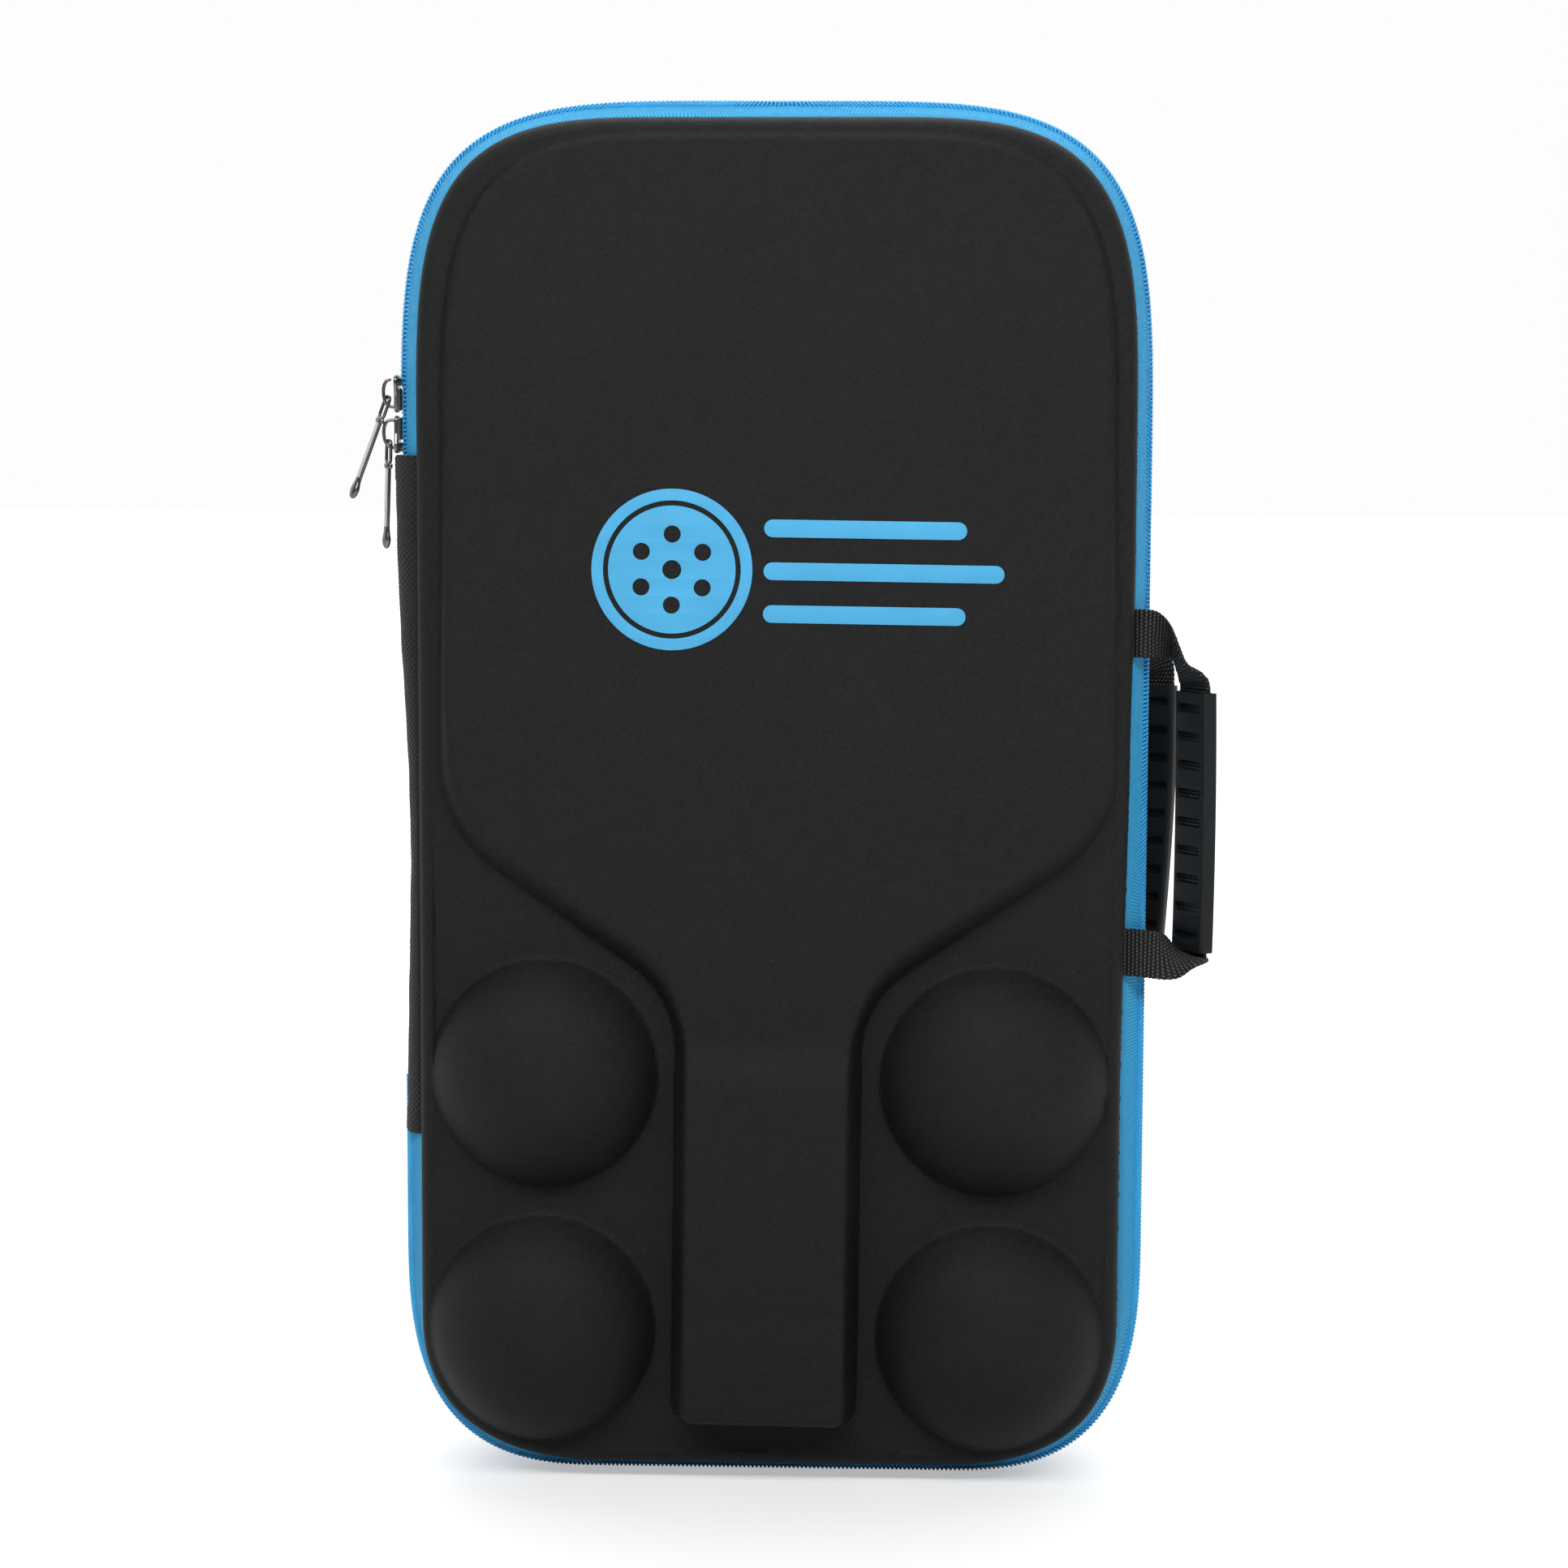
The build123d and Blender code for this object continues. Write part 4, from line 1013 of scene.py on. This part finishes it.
def build_webbing(A, B):
    a, b = catmull(A, 14), catmull(B, 14)
    mid = (a + b) / 2
    L = np.concatenate([[0], np.cumsum(np.linalg.norm(np.diff(mid, axis=0), axis=1))])
    n = int(L[-1] / (0.31))
    t = np.linspace(0, L[-1], n)
    a = np.stack([np.interp(t, L, a[:, i]) for i in range(3)], 1)
    b = np.stack([np.interp(t, L, b[:, i]) for i in range(3)], 1)
    mid = (a + b) / 2
    W = a - b
    wl = np.linalg.norm(W, axis=1)
    W /= wl[:, None]
    T = np.gradient(mid, axis=0)
    T /= np.linalg.norm(T, axis=1)[:, None]
    N = np.cross(T, W)
    N /= np.linalg.norm(N, axis=1)[:, None]
    # average the normals so that twists stay smooth
    for _ in range(3):
        N = (np.roll(N, 1, 0) + N * 2 + np.roll(N, -1, 0)) / 4
        N /= np.linalg.norm(N, axis=1)[:, None]
    m = 64
    v = np.linspace(-1, 1, m)
    half = 15.4 / 2
    edge = np.clip((1 - np.abs(v)) / 0.07, 0, 1) ** 0.5
    rib = np.abs(np.sin(t * math.pi / 1.32))
    row = np.floor(t / 1.32)
    dots = np.abs(np.sin((v[None, :] * half + half + 0.6 * row[:, None]) * math.pi / 1.2))
    R = 0.30 * rib[:, None] ** 0.6 * (0.5 + 0.5 * dots)
    th = 0.5 * (0.35 + 0.65 * edge)[None, :] + R * edge[None, :]
    wob = 0.12 * np.sin(t * math.pi / 0.66)
    vv = v[None, :] * (half + wob[:, None] * (np.abs(v) > 0.98)[None, :])
    C = mid[:, None, :] + W[:, None, :] * vv[:, :, None]
    # a little cupping across
    C = C + N[:, None, :] * (0.25 * (v ** 2)[None, :, None])
    up = C + N[:, None, :] * th[:, :, None]
    dn = C - N[:, None, :] * th[:, :, None]
    P = np.concatenate([up, dn[:, ::-1]], 1)
    mm = P.shape[1]
    Vv = np.concatenate([v * half + half, 2 * half + 1 + half - v[::-1] * half, [4 * half + 2]])
    quads, uv = grid_quads(n, mm, False, True, np.concatenate([t, [t[-1]]]), Vv)
    caps = [np.arange(mm)[None, :], (np.arange(mm)[::-1] + (n - 1) * mm)[None, :]]
    return P.reshape(-1, 3), quads, uv, caps


for label, A, B, y in (("front", front_A, front_B, -0.0094), ("back", back_A, back_B, 0.0094)):
    wv, wq, wuv, wc = build_webbing(A, B)
    ob = make(f"{label}_handle_strap", wv, [wq] + [c[:, ::-1] for c in wc], [m_web], [wuv] + [np.zeros((1, c.shape[1], 2)) for c in wc])
    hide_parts(f"{label}_handle_webbing", f"{label}_handle_sewn_ends")
    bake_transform(ob)


# ---------------------------------------------------------------- CAD nodes
def paint(node, mat):
    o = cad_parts[node]
    o.data.materials.clear()
    o.data.materials.append(mat)




def catmull2(pts, step=10):
    return catmull([(p[0], 0.0, p[1]) for p in pts], step)[:, [0, 2]]


def planar_wire(path, a, b, k=16):
    """Rounded bar along a path in x, z. a is the half-thickness in the plane, b across it (y). Ends are domed."""
    p = np.array(path, float)
    L = np.concatenate([[0], np.cumsum(np.linalg.norm(np.diff(p, axis=0), axis=1))])
    n = max(24, int(L[-1] / 0.14))
    e = np.linspace(0, 1, 7)[:-1]
    t = np.concatenate([a * (1 - np.cos(e * math.pi / 2)), np.linspace(a, L[-1] - a, n), L[-1] - a * (1 - np.cos(e[::-1] * math.pi / 2))])
    sc = np.concatenate([np.sin(e * math.pi / 2), np.ones(n), np.sin(e[::-1] * math.pi / 2)])
    sc = np.maximum(sc, 0.02)
    q = np.stack([np.interp(t, L, p[:, 0]), np.interp(t, L, p[:, 1])], 1)
    tan = np.gradient(q, axis=0)
    tan /= np.maximum(np.linalg.norm(tan, axis=1), 1e-9)[:, None]
    nrm = np.stack([-tan[:, 1], tan[:, 0]], 1)
    th = np.linspace(0, 2 * math.pi, k, endpoint=False)
    cc = np.sign(np.cos(th)) * np.abs(np.cos(th)) ** 0.7
    ss = np.sign(np.sin(th)) * np.abs(np.sin(th)) ** 0.7
    V = np.zeros((len(t), k, 3))
    V[:, :, 0] = q[:, None, 0] + nrm[:, None, 0] * cc * a * sc[:, None]
    V[:, :, 2] = q[:, None, 1] + nrm[:, None, 1] * cc * a * sc[:, None]
    V[:, :, 1] = ss * b * sc[:, None]
    f, _ = grid_quads(len(t), k, False, True, np.zeros(len(t) + 1), np.zeros(k + 1))
    faces = [tuple(q2) for q2 in f] + [tuple(range(k))[::-1], tuple((len(t) - 1) * k + i2 for i2 in range(k))]
    return [tuple(v) for v in V.reshape(-1, 3)], faces


def lump(profile, k=20, wx=0.55):
    """Body of revolution about z, flattened to wx across x. profile is (z, radius)."""
    th = np.linspace(0, 2 * math.pi, k, endpoint=False)
    V, F = [], []
    for z, r in profile:
        for t in th:
            V.append((r * wx * math.cos(t), r * math.sin(t), z))
    m = len(profile)
    for i2 in range(m - 1):
        for j2 in range(k):
            F.append((i2 * k + j2, i2 * k + (j2 + 1) % k, (i2 + 1) * k + (j2 + 1) % k, (i2 + 1) * k + j2))
    F.append(tuple(range(k))[::-1])
    F.append(tuple((m - 1) * k + j2 for j2 in range(k)))
    return V, F


def plate(outline, holes, thick, bevel, at_x, flipz=1, res=4):
    """Flat plate whose outline lies in y, z, centred on x = at_x."""
    v, f = bevel_curve("p", [outline] + holes, thick, bevel, res)
    return [(at_x + q[2], q[0], q[1] * flipz) for q in v], f


def join(*parts):
    V, F = [], []
    for v, f in parts:
        b = len(V)
        V += [tuple(q) for q in v]
        F += [tuple(b + i2 for i2 in p) for p in f]
    return V, F


def shift(part, x=0.0, y=0.0, z=0.0):
    return [(q[0] + x, q[1] + y, q[2] + z) for q in part[0]], part[1]


shield = rounded([(-3.1, -6.0), (3.1, -6.0), (3.3, -0.5), (4.5, 3.2), (4.4, 6.0), (-4.4, 6.0), (-4.5, 3.2), (-3.3, -0.5)], [1.6, 1.6, 2.5, 1.6, 1.9, 1.9, 1.6, 2.5], 6)
slim = rounded([(-2.6, -5.6), (2.6, -5.6), (2.9, -0.5), (4.0, 3.2), (3.9, 5.7), (-3.9, 5.7), (-4.0, 3.2), (-2.9, -0.5)], [1.4, 1.4, 2.2, 1.5, 1.7, 1.7, 1.5, 2.2], 6)


def slider_body(flip):
    """Two shield plates joined by a post, with lips that wrap the coil. flip turns the flared end down."""
    parts = [plate(shield, [], 1.3, 0.55, -121.9, flip), plate(slim, [], 1.0, 0.4, -117.05, flip)]
    lip = rounded([(-1.35, -5.4), (-0.45, -5.4), (-0.45, 1.4), (-1.35, 2.2)], [0.35] * 4, 4)
    for sy in (-1, 1):
        v, f = bevel_curve("l", [[(q[0], q[1]) for q in lip]], 0.9, 0.3, 3)
        parts.append(([(-121.0 + q[0] + 0.9, sy * (3.0 + q[2]), q[1] * flip) for q in v], f))
    post = rounded([(-0.6, 2.6), (0.6, 2.6), (0.6, 5.4), (-0.6, 5.4)], [0.5] * 4, 5)
    v, f = bevel_curve("q", [post], 4.4, 0.1, 2)
    parts.append(([(-119.4 + q[2], q[0], q[1] * flip) for q in v], f))
    # raised boss under the crown
    boss = rounded([(-1.3, -4.9), (1.3, -4.9), (1.3, 4.9), (-1.3, 4.9)], [1.2] * 4, 6)
    parts.append(plate(boss, [], 0.7, 0.3, -122.5, flip))
    return join(*parts)


def flat_ring(outer, holes, thick, bevel):
    v, f = bevel_curve("r", [outer] + holes, thick, bevel, 3)
    return [(q[2], q[0], q[1]) for q in v], f


def rbox(w, h, r):
    return rounded([(-w / 2, -h / 2), (w / 2, -h / 2), (w / 2, h / 2), (-w / 2, h / 2)], [r] * 4, 6)


def pull():
    """Slot loop, collar, slim bar and leaf-shaped tip, hanging down from the origin; x is the thickness."""
    loop = [(p[0], p[1] - 3.6) for p in rbox(4.2, 8.4, 1.9)]
    hole = [(p[0], p[1] - 3.85) for p in rbox(2.6, 6.6, 1.25)][::-1]
    a = flat_ring(loop, [hole], 1.05, 0.36)
    bar = [(p[0] * (1.0 + 0.10 * math.cos((p[1]) * 0.27)), p[1] - 19.0) for p in rbox(3.2, 22.9, 0.9)]
    b = flat_ring(bar, [], 1.0, 0.38)
    col = lump([(-8.9, 1.9), (-8.75, 2.35), (-8.4, 2.5), (-7.8, 2.5), (-7.45, 2.35), (-7.3, 1.9)], 20, 0.42)
    tip = []
    for i2 in range(33):
        u = i2 / 32.0
        z = -27.7 - 7.2 * u
        r = 1.55 + 0.75 * math.sin(math.pi * min(u / 0.62, 1.0) ** 1.2 / 2) ** 2
        r *= 1.0 if u < 0.55 else math.sqrt(max(1 - ((u - 0.55) / 0.45) ** 2, 0.0)) ** 0.9
        tip.append((z, max(r, 0.03)))
    c = lump(tip, 24, 0.52)
    return join(a, b, col, c)


def pull_face():
    """Polished flats let into both faces of the bar."""
    return flat_ring([(p[0], p[1] - 18.6) for p in rbox(1.9, 19.4, 0.85)], [], 1.12, 0.05)


def placed(part, cx, cz, lean, swivel):
    V = np.array(part[0], float)
    a, b = math.radians(swivel), math.radians(lean)
    x, y, z = V[:, 0], V[:, 1], V[:, 2]
    x, y = x * math.cos(a) - y * math.sin(a), x * math.sin(a) + y * math.cos(a)
    x, z = x * math.cos(b) + z * math.sin(b), -x * math.sin(b) + z * math.cos(b)
    return [tuple(q) for q in np.stack([x + cx, y, z + cz], 1)], part[1]


hook = catmull2([(-122.3, -4.1), (-123.8, -4.15), (-125.2, -3.4), (-126.1, -1.6), (-126.35, 0.8), (-126.1, 2.7), (-125.3, 4.1), (-124.3, 4.45), (-123.85, 4.3)], 12)
hook_closed = catmull2([(-122.3, -4.1), (-123.8, -4.15), (-125.2, -3.4), (-126.1, -1.6), (-126.35, 0.8), (-126.1, 2.7), (-125.3, 4.1), (-124.0, 4.55), (-122.5, 4.4)], 12)
pieces = {
    "slider_upper_body": (shift(slider_body(1), z=353.3), "slider_upper"),
    "slider_lower_body": (shift(slider_body(-1), z=340.3), "slider_lower"),
    "slider_upper_crown": (shift(planar_wire(hook, 0.55, 0.85), z=353.3), "slider_upper"),
    "slider_lower_crown": (shift(planar_wire(hook_closed, 0.55, 0.85), z=340.3), "slider_lower"),
    "pull_upper": (placed(pull(), -124.75, 352.3, 20.6, 34), "puller_upper"),
    "pull_lower": (placed(pull(), -124.7, 338.3, 2.0, 32), "puller_lower"),
}
for label, args in (("upper", (-124.75, 352.3, 20.6, 34)), ("lower", (-124.7, 338.3, 2.0, 32))):
    part = placed(pull_face(), *args)
    ob = make_list(f"pull_{label}_flats", part[0], part[1], [m_steel], weld=0.004)
    ob.data.set_sharp_from_angle(angle=math.radians(30))
    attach(ob, f"puller_{label}")
for node, (part, body) in pieces.items():
    ob = make_list(node + "_cast", part[0], part[1], [m_metal], weld=0.004)
    ob.data.set_sharp_from_angle(angle=math.radians(42))
    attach(ob, body)
    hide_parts(node)


def grip(cx, cy, ang, bow, lean):
    """Soft rubber sleeve: a rounded tube with nine slots in its inner face, slightly bowed."""
    def tube(w, h, r, z0, z1, n):
        sec = rbox(w, h, r)
        zs = np.linspace(z0, z1, n)
        V = [(p[0], p[1], z) for z in zs for p in sec]
        k = len(sec)
        F = [(i2 * k + j2, i2 * k + (j2 + 1) % k, (i2 + 1) * k + (j2 + 1) % k, (i2 + 1) * k + j2) for i2 in range(n - 1) for j2 in range(k)]
        F += [tuple(range(k))[::-1], tuple((n - 1) * k + j2 for j2 in range(k))]
        return V, F

    body = make_list("grip_body", *tube(5.4, 16.5, 1.35, 173.4, 258.0, 2))
    cut = [tube(1.9, 15.7, 0.6, 170.0, 262.0, 2)]
    for i2 in range(9):
        z = 215.7 + (i2 - 4) * 9.3
        v, f = bevel_curve("s", [[(p[0], p[1] + z) for p in rbox(12.6, 3.0, 1.45)]], 3.4, 0.0, 0)
        cut.append(([(-2.7 + q[2], q[0], q[1]) for q in v], f))
    cut = [make_list("grip_cut%d" % i2, v, f, weld=0.003) for i2, (v, f) in enumerate(cut)]
    for c in cut:
        mod = body.modifiers.new("b", "BOOLEAN")
        mod.operation = "DIFFERENCE"
        mod.solver = "EXACT"
        mod.object = c
    bev = body.modifiers.new("v", "BEVEL")
    bev.width = 0.00028
    bev.segments = 2
    bev.limit_method = "ANGLE"
    bev.angle_limit = math.radians(50)
    dg = bpy.context.evaluated_depsgraph_get()
    me = bpy.data.meshes.new_from_object(body.evaluated_get(dg))
    for o in [body] + cut:
        bpy.data.objects.remove(o)
    import bmesh
    bm = bmesh.new()
    bm.from_mesh(me)
    for zc in np.arange(176.0, 257.0, 3.1):
        geom = bm.verts[:] + bm.edges[:] + bm.faces[:]
        bmesh.ops.bisect_plane(bm, geom=geom, plane_co=(0, 0, zc * MM), plane_no=(0, 0, 1), dist=1e-7)
    ca, sa = math.cos(math.radians(ang)), math.sin(math.radians(ang))
    for v in bm.verts:
        x, y, z = v.co.x / MM, v.co.y / MM, v.co.z / MM
        t = (z - 215.7) / 42.3
        x += bow * (1 - t * t)
        wx, wy = cx + x * ca - y * sa, cy + x * sa + y * ca
        wx += lean * max(0.0, (235 - z) / 62.0) ** 1.5
        v.co = (wx * MM, wy * MM, z * MM)
    bmesh.ops.triangulate(bm, faces=[f for f in bm.faces if len(f.verts) > 4])
    bm.to_mesh(me)
    bm.free()
    me.materials.clear()
    me.materials.append(m_rubber)
    me.polygons.foreach_set("use_smooth", [True] * len(me.polygons))
    me.set_sharp_from_angle(angle=math.radians(38))
    return me


for label, args in (("front", (136.3, 5.9, 33.0, 0.55, 0.0)), ("back", (123.9, 32.5, 68.8, 0.0, -3.2))):
    ob = bpy.data.objects.new(f"{label}_grip_sleeve", grip(*args))
    scene = bpy.context.scene
    scene.collection.objects.link(ob)
    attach(ob, f"{label}_handle")
    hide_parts(f"{label}_handle_grip")


# --------------------------------------------------------------------- mark
def circle(cx, cy, r, n=64, back=False):
    a = np.linspace(0, 2 * math.pi, n, endpoint=False)
    if back:
        a = a[::-1]
    return [(cx + r * math.cos(t), cy + r * math.sin(t)) for t in a]


def slot_shape(cx, cy, w, h, n=12):
    r = h / 2
    out = []
    for i in range(n + 1):
        t = -math.pi / 2 + math.pi * i / n
        out.append((cx + w / 2 - r + r * math.cos(t), cy + r * math.sin(t)))
    for i in range(n + 1):
        t = math.pi / 2 + math.pi * i / n
        out.append((cx - w / 2 + r + r * math.cos(t), cy + r * math.sin(t)))
    return out


mark_parts = [
    [circle(-38, 0, 25.5, 96), circle(-38, 0, 21.8, 96)],
    [circle(-38, 0, 20.2, 96), circle(-38, 0, 3.0, 28)] + [circle(-38 + 11.2 * math.cos(math.radians(60 * i + 30)), 11.2 * math.sin(math.radians(60 * i + 30)), 2.7, 28) for i in range(6)],
    [slot_shape(23, 13.5, 64, 5.6)], [slot_shape(29, 0, 76, 5.6)], [slot_shape(23, -13.5, 64, 5.6)],
]
mv, mf = [], []
for splines in mark_parts:
    v, f = bevel_curve("m", splines, 0.16, 0.05, 1)
    base = len(mv)
    mv += [tuple(q) for q in v]
    mf += [[base + q for q in p] for p in f]
mv = np.array(mv)
ct, st = math.cos(TILT), math.sin(TILT)
lx, lz, lh = mv[:, 0] + 4.0, mv[:, 1] + 298.0, mv[:, 2]
dxm, dzm = lx, lz - PIV
mx = FX + 1.2 + dxm * ct + dzm * st
mz = PIV - dxm * st + dzm * ct
md = depth(mx, mz) + 0.09 + lh
mark = make_list("front_print", np.stack([mx, -md, mz], 1), mf, [m_print], weld=0.002)
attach(mark, "front_case")
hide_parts("front_mark")


# ------------------------------------------------------------ stage and view
def floor():
    me = bpy.data.meshes.new("floor")
    me.from_pydata([(-9, -9, 0), (9, -9, 0), (9, 9, 0), (-9, 9, 0)], [], [(0, 1, 2, 3)])
    ob = bpy.data.objects.new("floor", me)
    bpy.context.scene.collection.objects.link(ob)
    M = Mat("floor", (0.70, 0.70, 0.70), rough=0.95, spec=0.05)
    vec, o = M.coords("Object")
    ln = M.n("ShaderNodeVectorMath", operation="LENGTH")
    M.link(vec, ln.inputs[0])
    mr = M.n("ShaderNodeMapRange", interpolation_type="SMOOTHSTEP")
    M.link(ln.outputs["Value"], mr.inputs[0])
    for i, v in enumerate((0.1, 1.6, 0.0, 1.0)):
        mr.inputs[i + 1].default_value = v
    M.b.inputs["Emission Color"].default_value = (1, 1, 1, 1)
    lp = M.n("ShaderNodeLightPath")
    M.set("Emission Strength", M.math("ADD", M.math("MULTIPLY", mr.outputs[0], 0.2), M.math("MULTIPLY", lp.outputs["Is Camera Ray"], M.math("MULTIPLY_ADD", mr.outputs[0], 0.32, 0.43))))
    me.materials.append(M.m)


floor()
scene = bpy.context.scene
world = bpy.data.worlds.new("studio")
world.use_nodes = True
wt = world.node_tree
bg = wt.nodes["Background"]
bg.inputs[0].default_value = (0.97, 0.98, 1.0, 1)
wc = wt.nodes.new("ShaderNodeTexCoord")
wsep = wt.nodes.new("ShaderNodeSeparateXYZ")
wmap = wt.nodes.new("ShaderNodeMapRange")
wmap.interpolation_type = "SMOOTHSTEP"
wt.links.new(wc.outputs["Generated"], wsep.inputs[0])
wt.links.new(wsep.outputs[1], wmap.inputs[0])
for i, v in enumerate((-0.25, 0.45, 0.06, 0.95)):
    wmap.inputs[i + 1].default_value = v
wt.links.new(wmap.outputs[0], bg.inputs[1])
paper = wt.nodes.new("ShaderNodeBackground")
paper.inputs[0].default_value = (0.98, 0.98, 0.98, 1)
paper.inputs[1].default_value = 1.0
seen = wt.nodes.new("ShaderNodeLightPath")
pick = wt.nodes.new("ShaderNodeMixShader")
wt.links.new(seen.outputs["Is Camera Ray"], pick.inputs[0])
wt.links.new(bg.outputs[0], pick.inputs[1])
wt.links.new(paper.outputs[0], pick.inputs[2])
wt.links.new(pick.outputs[0], wt.nodes["World Output"].inputs[0])
scene.world = world
scene.view_settings.view_transform = "Standard"
scene.view_settings.look = "None"


def area(name, loc, target, size, power, size_y=None, color=(1, 1, 1)):
    li = bpy.data.lights.new(name, "AREA")
    li.shape = "RECTANGLE"
    li.size = size
    li.size_y = size_y or size
    li.energy = power
    li.color = color
    ob = bpy.data.objects.new(name, li)
    bpy.context.scene.collection.objects.link(ob)
    ob.location = loc
    d = Vector(target) - Vector(loc)
    ob.rotation_euler = d.to_track_quat("-Z", "Y").to_euler()
    ob.visible_camera = False
    return ob


area("key", (0.0, -0.98, 1.17), (0, 0, 0.2), 2.6, 21.0, 0.30)
area("top", (0.0, 0.55, 1.5), (0, 0.1, 0.1), 1.6, 9.0, 1.0)

# camera: a little above and to the right of square on
yaw, pitch, roll, dist, fpx = math.radians(2.197), math.radians(6.377), math.radians(0.164), 1.150, 4365.0
d = np.array([-math.sin(yaw) * math.cos(pitch), math.cos(yaw) * math.cos(pitch), -math.sin(pitch)])
right = np.cross(d, [0, 0, 1.0])
right /= np.linalg.norm(right)
up = np.cross(right, d)
r2 = right * math.cos(roll) + up * math.sin(roll)
u2 = up * math.cos(roll) - right * math.sin(roll)
loc = np.array([0.0031, 0, 0.22776]) - d * dist
cam = bpy.data.cameras.new("camera")
cam.lens = fpx / 1932 * 36.0
cam.sensor_width = 36.0
cam.sensor_fit = "HORIZONTAL"
cam_ob = bpy.data.objects.new("camera", cam)
scene.collection.objects.link(cam_ob)
M4 = Matrix([[r2[0], u2[0], -d[0], loc[0]], [r2[1], u2[1], -d[1], loc[1]], [r2[2], u2[2], -d[2], loc[2]], [0, 0, 0, 1]])
cam_ob.matrix_world = M4
scene.camera = cam_ob
